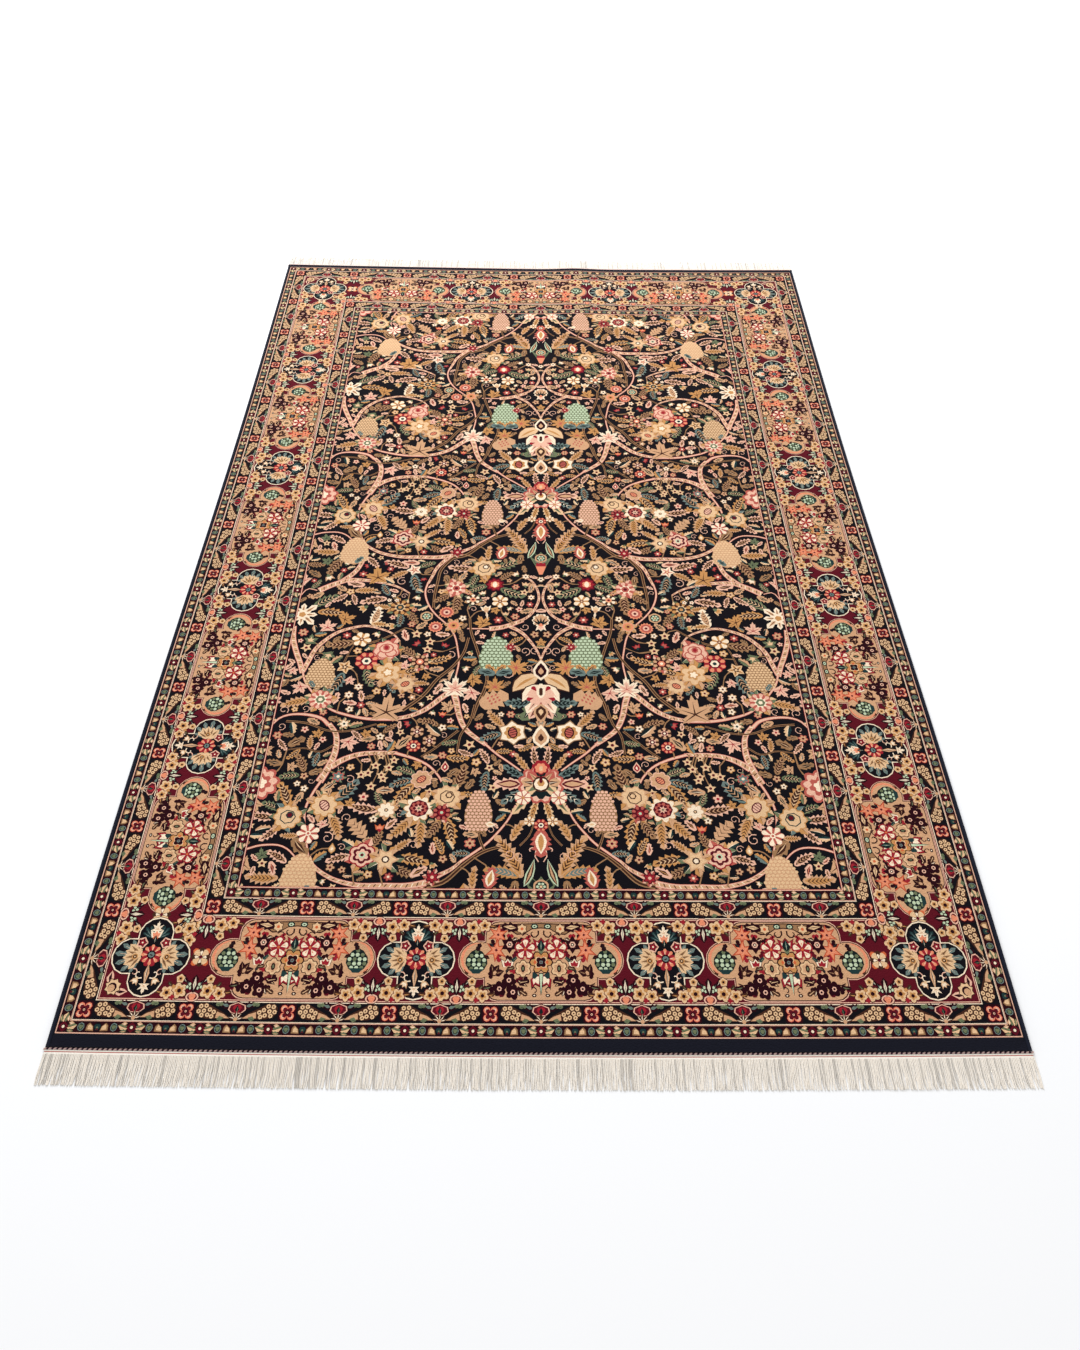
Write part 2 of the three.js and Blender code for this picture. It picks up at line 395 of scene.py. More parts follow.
def crowned(middle, paints, count=7, start=0.3, width=0.26):
    """A flower with the tips of its sepals showing between the petals."""
    motif = []
    for k in range(count):
        sepal = halved(*paints[k % len(paints)], width, 2)
        motif += placed(sepal, 0, 1.42 - 0.12 * (k % 2), start + TAU * k / count)
    return motif + middle


# The field's flowers and leaves

GREEN = ("sage", "pine", "cream")
PALE = ("straw", "sage", "brown")
TAN = ("tan", "gold", "brown")
TWO = ("gold", "sage", "brown")
ROSY = ("blush", "rose", "wine")
DARK = ("steel", "pine", "cream")


def broad(motif):
    """A maple leaf of full reach, its middle at 0."""
    return placed(motif, -0.5j, 1.45)


def lengthwise(motif):
    """A leaf of full reach, its middle at 0."""
    return placed(motif, -1, 2)


def upright(motif):
    """A tulip with its middle at 0."""
    return placed(motif, -0.4j)


def lily(edge, petal, heart):
    motif = leaves(*[(edge, petal, heart, 0.34, 0, 0, 1, 0.4 + TAU * k / 5) for k in range(5)])
    return motif + [(lobed(5, 0.4, 2, 0.4), heart), (disc(0.18), "straw")]


def star_lily():
    motif = leaves(*[("cream", "tan", "brown", 0.22, 2, 0, 0.8 + 0.2 * (k % 2), TAU * k / 8)
        for k in range(8)])
    return motif + [(lobed(6, 0.3, 3, 0.34), "cream"), (disc(0.2), "gold")]


def petal(paint, vein, width, bow):
    """A smooth petal with a dark edge, its foot at 0."""
    motif = [(blade(width, 0, bow), "brown"), (blade(width * 0.86, 0, bow, 0.03, 0.97), paint)]
    return motif + [(blade(width * 0.2, 0, bow, 0.15, 0.85), vein)]


def palmette_main():
    """The great palmette on the field's axis."""
    half = placed(plume("steel", "pine", "steel", 0.24, 5, 0.5), 0.2 - 0.35j, 0.8, -0.35)
    half += leaves(("sage", "pine", "cream", 0.3, 3, 0.1 - 0.4j, 0.75, -1.0))
    half += placed(petal("straw", "gold", 0.3, -0.8), 0.02 + 0.5j, 0.98, -0.25)
    half += placed(petal("cream", "blush", 0.26, -0.6), 0.02 + 0.2j, 0.8, -0.6)
    half += leaves(
        ("cream", "blush", "brown", 0.26, 2, -0.3, -0.25j, 0.66, -0.8),
        ("blush", "brown", "rose", 0.24, 2, 0.05 - 0.55j, 0.5, -1.0),
    )
    motif = mirrored(half)
    motif += placed([(lobed(9, 0.16, 3, 0.36), "blush")]
        + paint_all(petals(5, 0.7, 0.2, 0.4, -UP), "ruby"), -0.2j)
    motif += [(oval(0.13, 0.26, 7, -0.02j), "cream"), (oval(0.06, 0.17, 5, -0.05j), "brown")]
    motif += placed(bud("cream", "plum", "tan"), 0.34j, 0.74)
    return motif + placed(bud("tan", "brown", "straw"), -0.45j, 0.66, math.pi)


def starburst_crown():
    """Seven leaves that fan out to the right, from the top down."""
    tongue = [(blade(0.28, 4), "blush"), (blade(0.2, 0, 0, 0.06, 0.9), "wine"),
        (blade(0.15, 0, 0, 0.16, 0.84), "tan")]
    fan = (
        plume("blush", "brown", "tan", 0.16, 5, 0.2), plume("tan", "gold", "brown", 0.16, 5, 0.2),
        plume("steel", "pine", "steel", 0.2, 4, 0.3), tongue, plume("steel", "pine", "cream", 0.2, 4, -0.3),
        leaf("straw", "sage", "brown", 0.2, 3), plume("straw", "gold", "brown", 0.16, 5, 0.1),
    )
    half = []
    for k, motif in enumerate(fan):
        turn = UP - (k + 0.5) * math.pi / 7
        half += placed(motif, 0.42 * unit(turn), 0.66 - 0.03 * (k % 3), turn)
    return mirrored(half)


def starburst():
    """The great rosette on the field's axis."""
    motif = (starburst_crown()
        + flower((12, 0.16, 0.54, "rose"), (12, 0.18, 0.48, "blush"), (10, 0.2, 0.41, "pine")))
    daisy = ([(lobed(7, 0.3, 3), "rose")] + paint_all(petals(7, 0.8, 0.16, 0.9), "cream")
        + [(disc(0.2), "gold")])
    half = leaves(
        ("tan", "brown", "cream", 0.3, 2, 0, 0.46, 0.15),
        ("straw", "sage", None, 0.3, 2, 0, 0.44, -0.6),
        ("rose", "tan", "wine", 0.3, 2, 0, 0.46, 0.85),
    )
    motif += mirrored(half + placed(daisy, 0.4 - 0.36j, 0.2))
    motif += [(lobed(7, 0.2, 3, 0.21, UP) + 0.46j, "ruby"), (lobed(7, 0.2, 3, 0.15, UP) + 0.43j, "salmon")]
    motif += [(oval(0.05, 0.09, 5, 0.42j), "straw"), (oval(0.2, 0.22, 9), "brown"),
        (oval(0.16, 0.17, 8), "cream")]
    return motif + [(oval(0.09, 0.1, 6, 0.03j), "gold"), (oval(0.045, 0.12, 5, 0.12j), "wine")]


def fan_cup():
    """A cup of barbed sepals that opens upwards."""
    cup = both_ways([1.02j, 0.2 + 0.72j, 0.5 + 1j, 0.72 + 0.6j, 0.32 - 0.3j, 0.12 - 1j, -1j])
    motif = [(cup, "sage"), (cup * 0.84 + 0.04j, "pine")]
    motif += leaves(*[("sage", "steel", None, 0.12, 0, -0.2j, 0.95, UP + turn)
        for turn in (-0.7, -0.35, 0, 0.35, 0.7)])
    motif += [(np.array([-0.34 - 0.25j, 0.34 - 0.25j, 0.1 - 1j, -0.1 - 1j]), "salmon")]
    return motif + [(both_ways([0.2j, 0.12 - 0.04j, 0.26 + 0.1j, 0.32 - 0.28j, -0.28j]), "ruby")]


def shell():
    """A frilled palmette on a small base."""
    motif = [(0.9 * lobed(11, 0.16, 3, 0.78) + 0.16j, "cream"), (lobed(9, 0.2, 3, 0.62) + 0.14j, "tan")]
    for turn in (-0.8, -0.4, 0, 0.4, 0.8):
        motif += placed([(blade(0.09), "pine")], -0.4j, 0.95, UP + turn)
    motif += placed(tulip("blush", "cream", "salmon"), -0.35j, 0.55, math.pi)
    return motif + placed(curl("blush", 0.9, 0.2), 0.6 - 0.9j, 0.22)


def mottled():
    """A broad leaf with small rose leaves strewn over it."""
    motif = placed([(blade(0.42, 4), "tan")], -0.9, 1.8)
    for k in range(9):
        at = 0.25 * (k % 3) + 0.22j * (k // 3) - 0.35 - 0.22j
        motif += placed([(blade(0.3), "rose")], at, 0.22, 0.6)
    return motif


def basket():
    motif = [(lobed(6, 0.12, 3), "tan"), (disc(0.74, 0, 9), "pine")]
    return (motif + [(disc(0.2, 0.42 * np.exp(1j * TAU * k / 6)), "mint") for k in range(6)]
        + [(disc(0.2), "straw")])


def trio(paint):
    one = blossom(5, "brown", paint, "rose")
    return [part for k in range(3) for part in placed(one, 0.55 * unit(UP + TAU * k / 3), 0.42)]


def hook():
    stem = ribbon(np.array([0.8 + 0.5j, 0.7 - 0.3j, 1.1 - 1j]), np.array([0.14, 0.14, 0.12]))
    return placed(curl("blush", 0.8, 0.26), 0.3 + 0.5j, 0.5) + [(stem, "blush")]


def great_rosette():
    rings = [(9, 0.24, 1, "gold"), (9, 0.3, 0.95, "cream"), (0.64, "wine"), (9, 0.3, 0.56, "rose")]
    middle = flower(*rings, (7, 0.3, 0.4, "wine")) + [(star(7, 0.5, 0.3), "blush"), (disc(0.1, 0, 4), "sage")]
    return crowned(middle, [TAN, GREEN, PALE, DARK], 8, -1.9)


def petalled(count, edge, width, eye, heart):
    """A flower of round cream petals."""
    motif = ([(lobed(count, 0.3), edge)]
        + paint_all(petals(count, width, 0.18, 0.94, math.pi / count), "cream"))
    return motif + [(disc(0.24, 0, 7), eye), (disc(0.13), heart)]


def cone_on_leaves(ground, scale, width, rows, *rows_of_leaves):
    return cone(ground, scale, width, rows) + leaves(*rows_of_leaves)


KINDS = {
    "cone_plain": cone_on_leaves("tan", "straw", 0.7, 12,
        ("steel", "pine", "steel", 0.3, 3, 0.1 - 0.9j, 0.6, 0.9)),
    "cone_mint": cone("sage", "mint", 0.66, 12) + mirrored(leaves(
        ("gold", "brown", "straw", 0.3, 3, -1j, 0.62, 0.9),
        ("steel", "pine", "steel", 0.3, 3, -1j, 0.72, 0.25))),
    "cone_gold": cone_on_leaves("khaki", "straw", 0.7, 12,
        ("steel", "teal", "cream", 0.3, 2, -0.2 - 0.9j, 0.5, 2.2)),
    "cone_beige": cone_on_leaves("khaki", "blush", 0.54, 13,
        ("cream", "straw", None, 0.34, 0, 0.3 - 0.6j, 0.4, -0.1)),
    "maple_gold": broad(maple("gold", "brown", 5, 2.3)),
    "maple_green": broad(maple("sage", "pine") + placed(maple("straw", None), 0.1j, 0.5)),
    "maple_tan": broad(maple("tan", "brown", 5, 2.2)),
    "maple_orange": broad(maple("gold", "rose", 7, 2.3)),
    "maple_blush": broad(maple("cream", "ruby", 7, 2.3) + placed(maple("blush", "rose"), 0.1j, 0.55)),
    "lily": lily("cream", "blush", "rose"),
    "lily_gold": lily("straw", "gold", "brown"),
    "star_lily": star_lily(),
    "eyed_straw": crowned(eyed("gold", "straw", "brown", "cream"), [TAN, GREEN], 8, 0.2),
    "eyed_tan": crowned(eyed("tan", "straw", "brown", "straw"), [TAN, PALE, GREEN], 7, 0.1),
    "eyed_gold": crowned(eyed("gold", "straw", "teal", "wine"), [GREEN, TAN, DARK], 7, 0.5),
    "striped_gold": crowned(striped("tan", "straw", "wine", "salmon"), [TAN], 7, 2.8),
    "striped_cream": [(star(6, 0.72, 1.1, UP), "khaki"), (star(6, 0.74, 0.98, UP), "cream"),
                      (lobed(7, 0.2, 3, 0.62), "gold"), *striped_eye("plum", "rose")],
    "striped_blush": striped("blush", "tan", "wine", "salmon"),
    "striped_straw": crowned(striped("gold", "straw", "wine", "blush"), [TAN, PALE], 7, 0.4),
    "frilled_ruby": flower((9, 0.2, 1, "wine"), (9, 0.24, 0.84, "ruby"), (6, 0.2, 0.5, "salmon")) + [
        (oval(0.26, 0.4, 8), "cream")],
    "rosette_blush": crowned(rosette(7, "rose", "blush", "cream", "rose", "wine"), [PALE, TAN, ROSY], 8, 0.4),
    "rosette_small": crowned(rosette(6, "brown", "cream", "straw", "salmon", "wine"), [GREEN, TAN], 7, 0.9),
    "rosette_gold": crowned(rosette(8, "brown", "gold", "straw", "teal", "gold"), [TWO, PALE], 7, 0.1),
    "rosette_ruby": rosette(8, "ruby", "salmon", "wine", "cream", "teal"),
    "rosette_wine": crowned(rosette(8, "wine", "rose", "wine", "ruby", "mint"), [ROSY, TAN, GREEN], 8, -1.2),
    "rosette_dusk": crowned(rosette(8, "brown", "tan", "wine", "salmon", "cream"), [ROSY, PALE], 7, -0.8),
    "rosette_dusk_big": crowned(flower(
        (6, 0.16, 1, "ruby"), (6, 0.2, 0.9, "blush"), (6, 0.26, 0.7, "wine"), (6, 0.3, 0.5, "blush"),
        (0.26, "mint"), (0.14, "wine")), [ROSY, TAN, GREEN], 8, 1.2),
    "rosette_tan": rosette(6, "brown", "tan", "blush", "wine", "cream"),
    "rosette_wide": crowned(rosette(9, "rose", "blush", "cream", "sage", "cream"),
        [TAN, PALE, GREEN], 9, 0.1),
    "rosette_great": great_rosette(),
    "six_gold": petalled(6, "gold", 0.72, "wine", "straw"),
    "seven_blush": petalled(7, "rose", 0.62, "cream", "rose"),
    "peony_gold": crowned(flower(
        (6, 0.3, 1, "gold"), (6, 0.34, 0.9, "straw"), (5, 0.4, 0.5, "gold"), (5, 0.4, 0.3, "cream")),
        [TAN], 7, -1.9),
    "cabbage_rose": crowned(cabbage("rose", "blush", "rose", "ruby"), [GREEN, TWO, ROSY], 7, -0.9),
    "fringed_rose": fringed("salmon", "rose", "blush", "wine"),
    "fringed_tan": crowned(fringed("tan", "salmon", "gold", "wine"), [TAN], 7, -1.5),
    "lobed_cream": crowned(flower(
        (7, 0.26, 1, "tan"), (7, 0.3, 0.88, "cream"), (0.24, "brown"), (0.13, "straw")),
        [PALE, TAN], 7, 2.0),
    "star_tan": crowned([(star(6, 0.6), "tan"), (star(6, 0.6, 0.8), "straw"), (disc(0.3, 0, 8), "brown"),
                         (disc(0.2), "cream")], [GREEN, TAN], 7, 0.1),
    "blossom_cream": blossom(6, "tan", "cream", "wine"),
    "blossom_tan": blossom(5, "brown", "tan", "cream"),
    "blossom_ruby": crowned(blossom(6, "wine", "ruby", "blush"), [ROSY], 7, 1.2),
    "blossom_eye": crowned(blossom(5, "tan", "cream", "teal"), [PALE], 7, 2.5),
    "blossom_steel": crowned(blossom(6, "rose", "steel", "cream"), [GREEN], 7, 4.4),
    "starlet": starlet(),
    "trio_cream": trio("cream"),
    "wing_leaf": placed(plume("cream", "tan", "brown", 0.26, 5, 0.6), -0.4, 1.6)
                 + placed(plume("straw", "gold", "brown", 0.22, 5, -0.5), -0.4, 1.2, -0.9),
    "basket": basket(),
    "tulip_cream": placed(tulip("straw", "cream", "tan"), -0.3j, 1.1) + leaves(
        ("cream", "tan", None, 0.12, 0, -0.4j, 1.6, -UP)),
    "tulip_small": upright(tulip("straw", "tan", "sage")),
    "tulip_orange": upright(tulip("salmon", "orange", "ruby")),
    "bud_gold": placed(bud("gold", "straw", "cream"), -1j, 2),
    "bud_cream": placed(bud("cream", "tan", "brown"), -1j, 2),
    "bud_ruby": placed(bud("blush", "ruby", "cream"), -1j, 2),
    "palmette_small": shell(),
    "palmette_main": palmette_main(),
    "palmette_mottled": mottled(),
    "palmette_edge": flower((9, 0.2, 1, "rose"), (9, 0.24, 0.86, "blush"), (7, 0.3, 0.6, "rose"),
        (5, 0.3, 0.36, "cream")),
    "oak_tan": placed(oak("tan", "brown"), -0.9, 1.8),
    "starburst": starburst(),
    "fan_cup": fan_cup(),
    "feather": lengthwise(plume("tan", "gold", "brown", 0.17, 8, 0.35)),
    "tusk": lengthwise([(blade(0.13, 0, 0.3), "mint"), (blade(0.09, 0, 0.3, 0.05, 0.95), "brown"),
                        (blade(0.05, 0, 0.3, 0.08, 0.92), "tan")]),
    "flame": lengthwise([(blade(0.36, 5), "rose"), (blade(0.24, 0, 0, 0.08, 0.88), "cream"),
                         (blade(0.15, 0, 0, 0.14, 0.8), "gold")]),
    "plume_small": lengthwise(plume("tan", "gold", "brown", 0.2, 4, -0.5)),
    "gold_leaf": lengthwise(plume("gold", "steel", "tan", 0.2, 6, 0.6)),
    "hook": hook(),
    "scroll": placed(scroll("blush"), -0.6, 1.4),
}


# The borders' motifs, in millimetres, up towards the field


def rounded_box(wide, high, radius, steps=4):
    corners = []
    for k, (side, rise) in enumerate(((1, 1), (-1, 1), (-1, -1), (1, -1))):
        centre = side * (wide - radius) + 1j * rise * (high - radius)
        angles = (k + np.arange(steps + 1) / steps) * UP
        corners.append(centre + radius * unit(angles))
    return np.concatenate(corners)


def quatrefoil(reach, lobe, steps=8):
    """Four round lobes that meet in notches on the diagonals."""
    middle = reach - lobe
    angles = np.linspace(-math.pi / 4, math.pi / 4, steps, endpoint=False)
    radii = middle * np.cos(angles) + np.sqrt(lobe**2 - (middle * np.sin(angles)) ** 2)
    quarter = radii * unit(angles)
    return np.concatenate([quarter * 1j**k for k in range(4)])


def rimmed(motif, paint="plum", share=1.22):
    """A motif on a dark rim of its own outline."""
    return [(motif[0][0] * share, paint)] + motif


def long_star():
    """A star of six slim petals."""
    motif = rimmed([(star(6, 0.42, 1, UP), "orange"), (star(6, 0.42, 0.78, UP), "salmon")], "ruby", 1.14)
    return motif + [(disc(0.16, 0, 4), "wine")]


def dark_star():
    return ([(star(6, 0.62, 1, UP), "plum")]
        + flower((0.36, "blush"), (0.22, "plum"), (0.1, "cream")))


def dark_blossom():
    return flower((5, 0.3, 1, "plum"), (0.32, "blush"), (0.17, "plum"))


def pale_blossom():
    """Cream petals, each with a red edge."""
    motif = paint_all(petals(5, 1.05, 0.16, 1.06), "ruby") + paint_all(petals(5, 0.78, 0.2, 0.93), "cream")
    motif = [(lobed(5, 0.2, 3, 0.86, math.pi / 5), "ruby")] + motif
    return motif + paint_all(petals(5, 0.4, 0.3, 0.7), "salmon") + [(disc(0.15), "orange")]


def red_bud():
    return upright(rimmed(tulip("ruby", "cream", "tan"), "brown", 1.14))


def iris():
    """A dusky flower with three tongues."""
    motif = leaves(*[("plum", "brown", "tan", 0.34, 0, -0.3j, 1.25, UP + turn) for turn in (-0.75, 0, 0.75)])
    return motif + [(oval(0.34, 0.42, 7, -0.1j), "brown"), (oval(0.2, 0.28, 5, -0.1j), "tan")]


def dark_eyed():
    motif = flower((6, 0.24, 1.08, "brown"), (6, 0.26, 0.96, "straw"), (6, 0.3, 0.7, "tan"), steps=3)
    return motif + [(oval(0.26, 0.46, 7), "plum"), (oval(0.12, 0.26, 5), "sage")]


def gold_blossom(edge):
    return flower((5, 0.3, 1.1, edge), (5, 0.34, 0.97, "straw"), (5, 0.4, 0.6, "gold"), (0.27, "plum"))


# Rows of berries from the top down: how many, and how high
BERRY_ROWS = ((1, 0.86), (3, 0.5), (4, 0.12), (4, -0.26), (3, -0.62))


def berries():
    """A fruit of round berries, with a dark cup at its foot."""
    husk = both_ways([1.12j, 0.5 + 0.86j, 0.92 + 0.3j, 0.98 - 0.2j, 0.7 - 0.7j, 0.3 - 0.98j, -0.98j])
    motif = [(husk, "pine")]
    for row, (count, rise) in enumerate(BERRY_ROWS):
        for k in range(count):
            at = (k - (count - 1) / 2) * 0.45 + 1j * rise
            motif += [(oval(0.19, 0.18, 6, at), "mint" if (row + k) % 3 else "sage")]
    return motif + [(np.array([-0.62 - 0.66j, 0.62 - 0.66j, 0.3 - 1.05j, -0.3 - 1.05j]), "teal")]


# Small leaves on the long panel's ground, by paint: across, up, length and turn of each
PANEL_LEAVES = {
    "plum": (
        (22, 0, 17, 2.4), (48, 34, 16, 2.6), (73, 42, 15, 1.2), (24, -44, 16, 1.0), (33, -56, 15, 0.2),
        (97, 40, 15, -1.9), (96, -36, 15, 1.3), (56, 2, 15, 0.3), (92, -64, 16, 1.1), (146, 14, 15, 1.9),
        (104, -16, 14, 2.6), (8, -10, 11, 2.2),
    ),
    "wine": (
        (20, 36, 15, 0.4), (46, 18, 17, -1.0), (76, 12, 16, -0.4), (35, -32, 17, -0.6), (70, -66, 19, 0.3),
        (98, -4, 16, 1.8), (102, -58, 12, 0.2), (72, 60, 15, -0.4),
    ),
    "ruby": ((54, 46, 15, 0.1), (20, 48, 12, -0.6), (80, -4, 15, 1.0), (48, -24, 15, 0.4), (26, 10, 12, 0.6)),
    "brown": ((108, -24, 15, 0.2), (106, 22, 15, 0.6), (147, -14, 15, -1.9)),
}


def panel_ground():
    """A long panel with a round lobe at each end, strewn with small leaves."""
    motif = []
    for inset, paint in ((0, "blush"), (1.3, "plum"), (2.9, "tan")):
        motif += [(rounded_box(111 - inset, 77 - inset, 26), paint)]
        motif += [(oval(41 - inset, 37.5 - inset, 18, 121 * side), paint) for side in (-1, 1)]
    half = []
    for paint, places in PANEL_LEAVES.items():
        for across, rise, length, turn in places:
            half += placed([(blade(0.34, 2), paint)], across + 1j * rise, length, turn)
    return motif + [(rounded_box(106, 73.5, 24), "tan")] + mirrored(half)


def panel_scroll():
    """The right half of the scroll along the panel's field side."""
    upper = np.array([0, 20, 36, 52, 70, 86, 98]) + 1j * np.array([73, 71, 72, 71, 70, 70, 66])
    lower = np.array([92, 76, 62, 48, 34, 18, 0]) + 1j * np.array([62, 66, 57, 49, 50, 60, 62])
    inner_upper = np.array([0, 20, 36, 52, 70, 84]) + 1j * np.array([71, 69.4, 70, 69, 68, 67.6])
    inner_lower = np.array([78, 62, 48, 34, 18, 0]) + 1j * np.array([66, 60, 51.6, 52.4, 62, 64])
    half = [(np.append(upper, lower), "plum"), (np.append(inner_upper, inner_lower), "khaki")]
    half += leaves(("plum", "straw", "brown", 0.3, 3, 44 + 62j, 36, 0.12))
    half += placed(flower((6, 0.3, 1, "brown"), (6, 0.3, 0.83, "straw"),
        (0.28, "orange")), 38 + 61j, 12)
    half += [(oval(8, 6, 7, 13 + 66j), "pine"), (oval(5.4, 3.6, 6, 13 + 66j), "mint"),
        (oval(2.4, 1.6, 4, 13 + 66j), "plum")]
    return (half + placed(curl("plum", 0.8, 0.3), 15 + 52j, 11, 2.6)
        + placed(curl("plum", 0.7, 0.26), 29 + 44j, 9, 0.4))


def panel_flowers():
    """The right half of the flowers on the long panel."""
    half = ([(disc(31, 126 + 2j, 14), "salmon"), (disc(31, 121 + 1j, 14), "tan")]
        + placed(berries(), 126 - 3j, 22))
    half += placed(long_star(), 85 + 49j, 19, 0.1) + placed(long_star(), 88 + 19j, 21, 0.1)
    half += placed(dark_star(), 62 + 30j, 18) + placed(pale_blossom(), 31 + 21j, 20, 0.33)
    half += placed(red_bud(), 65 - 9j, 17)
    half += placed(iris(), 89 - 23j, 17, 0.5)
    half += placed(dark_eyed(), 35 - 16j, 16.5)
    half += placed(rimmed(tulip("cream", "ruby", "teal"), "plum", 1.12), 12 - 29j, 20, math.pi - 0.42)
    for at, turn in ((62 - 38j, 0.3), (80 - 54j, 0.8), (54 - 60j, 1.2)):
        half += placed(dark_blossom(), at, 15, turn)
    twig = smooth([104 - 44j, 92 - 48j, 74 - 44j, 60 - 50j], 9)
    half += [(ribbon(twig, np.full(len(twig), 2.4)), "plum")]
    half += placed(curl("plum", 0.7, 0.3), 14 - 58j, 8, 1.0)
    half += [(oval(5, 3.6, 6, 13 - 66j), "plum"), (oval(2.2, 1.6, 4, 13 - 66j), "cream")]
    return half + leaves(
        ("plum", "pine", None, 0.34, 2, 126 + 17j, 17, 2.0),
        ("plum", "brown", None, 0.26, 0, 100 + 2j, 16, 0.5),
        ("plum", "sage", None, 0.26, 2, 94 - 50j, 20, -0.2),
        ("plum", "teal", None, 0.26, 0, 68 - 26j, 12, 1.9),
        ("plum", "straw", None, 0.26, 0, 47 - 37j, 25, -2.6),
        ("plum", "straw", None, 0.26, 0, 44 - 44j, 21, 2.9),
        ("brown", "straw", "tan", 0.3, 2, 26 - 66j, 19, 0.5),
        ("brown", "cream", None, 0.3, 0, 40 - 68j, 13, 1.2),
        ("teal", "sage", None, 0.3, 2, 47 + 6j, 14, -0.7),
        ("brown", "sage", "tan", 0.3, 2, 51 - 14j, 17, -0.2),
        ("plum", "teal", None, 0.26, 0, 103 + 32j, 14, -2.6),
        ("brown", "cream", None, 0.3, 0, 46 + 43j, 14, -0.4),
    )


def panel_axis():
    """The flower in the middle of the long panel, its tulip and its hanging leaf."""
    motif = placed(rimmed(tulip("cream", "ruby", "sage"), "plum", 1.08), 20j, 21)
    motif += leaves(("pine", "teal", "mint", 0.34, 0, 17j, 24, UP))
    motif += [(both_ways([-24j, 5 - 24j, 2.4 - 50j, 1 - 67j, -67j]), "plum")]
    motif += [(both_ways([-26j, 3.4 - 26j, 1.2 - 50j, -65j]), "mint")]
    rings = [(6, 0.34, 24, "plum"), (6, 0.38, 21.5, "gold"), (6, 0.4, 15, "orange"), (4, 0.4, 14, "straw")]
    return motif + placed(flower(*rings, (4, 0.36, 11.5, "plum"), steps=4), -4j, 1, UP) + [
        (disc(4, -4j), "steel"), (disc(1.8, -4j, 4), "wine")]


def long_panel():
    return panel_ground() + mirrored(panel_scroll() + panel_flowers()) + panel_axis()


# An acanthus leaf's tongues, above and below: turn and length of each
ACANTHUS_TIPS = ((0.95, 0.66), (0.52, 0.84), (0.1, 0.96), (-0.32, 0.9), (-0.74, 0.8), (-1.15, 0.64))
ACANTHUS_TONGUES = ((1.15, 0.6), (0.72, 0.7), (0.3, 0.68), (-0.12, 0.72), (-0.52, 0.72), (-0.95, 0.66))


def acanthus():
    """A tan leaf of many tongues with pale blue-green tips, its stem at 0."""
    motif = leaves(*[("steel", "pine", "cream", 0.15, 3, 0.12 * unit(turn), size, turn)
        for turn, size in ACANTHUS_TIPS])
    return (motif
        + leaves(*[("straw", "khaki", "brown", 0.22, 2, 0, size, turn) for turn, size in ACANTHUS_TONGUES]))


def medallion_sprays():
    """The right half of the sprays round a medallion's rosette."""
    half = placed(acanthus(), 20 + 1j, 48, -0.02)
    half += placed(flower((1, "gold"), (0.63, "plum"), (0.3, "straw")), 31 - 1j, 6)
    half += placed(flower((5, 0.3, 1, "blush"), (5, 0.36, 0.83, "wine"), (5, 0.5, 0.52, "ruby"),
        (0.17, "cream")), 23 + 26j, 11.5)
    half += leaves(*[("teal", "steel", None, 0.17, 3, 6 + 36j, size, turn)
        for turn, size in ((1.25, 25), (0.85, 27), (0.42, 23))])
    half += placed(curl("blush", 0.8, 0.26), 25 - 31j, 8, 1.2)
    half += placed(curl("cream", 0.7, 0.24), 14 - 33j, 10, 4.0)
    return half + placed(tulip("cream", "tan", "straw"), 17 - 42j, 11, math.pi + 0.45)


def medallion():
    """A quatrefoil with a rosette and sprays."""
    motif = [(quatrefoil(77.5, 36), "plum"), (quatrefoil(76.4, 35), "cream"), (quatrefoil(73.8, 33), "night")]
    motif += mirrored(medallion_sprays())
    motif += placed(maple("cream", "tan", 5, 1.7), 52j, 17)
    motif += placed(tulip("salmon", "cream", "orange"), 34j, 17)
    motif += leaves(("pine", "teal", "cream", 0.3, 0, 25j, 16, UP),
        ("tan", "cream", "brown", 0.12, 0, -14j, 42, -UP))
    motif += placed(maple("cream", "tan", 5, 1.9), -55j, 16, math.pi)
    motif += [(lobed(8, 0.22, 3, 20.5, UP), "ruby")]
    motif += placed(paint_all(petals(8, 0.52, 0.3, 19.5 / 20), "salmon"), 3j, 20, UP)
    motif += placed(paint_all(petals(8, 0.3, 0.4), "cream"), 3j, 15, UP)
    return (motif
        + [(disc(8.6, 3j, 9), "plum"), (oval(6.2, 5.6, 8, 3j), "steel"), (oval(3.4, 2.2, 6, 2.4j), "plum")])


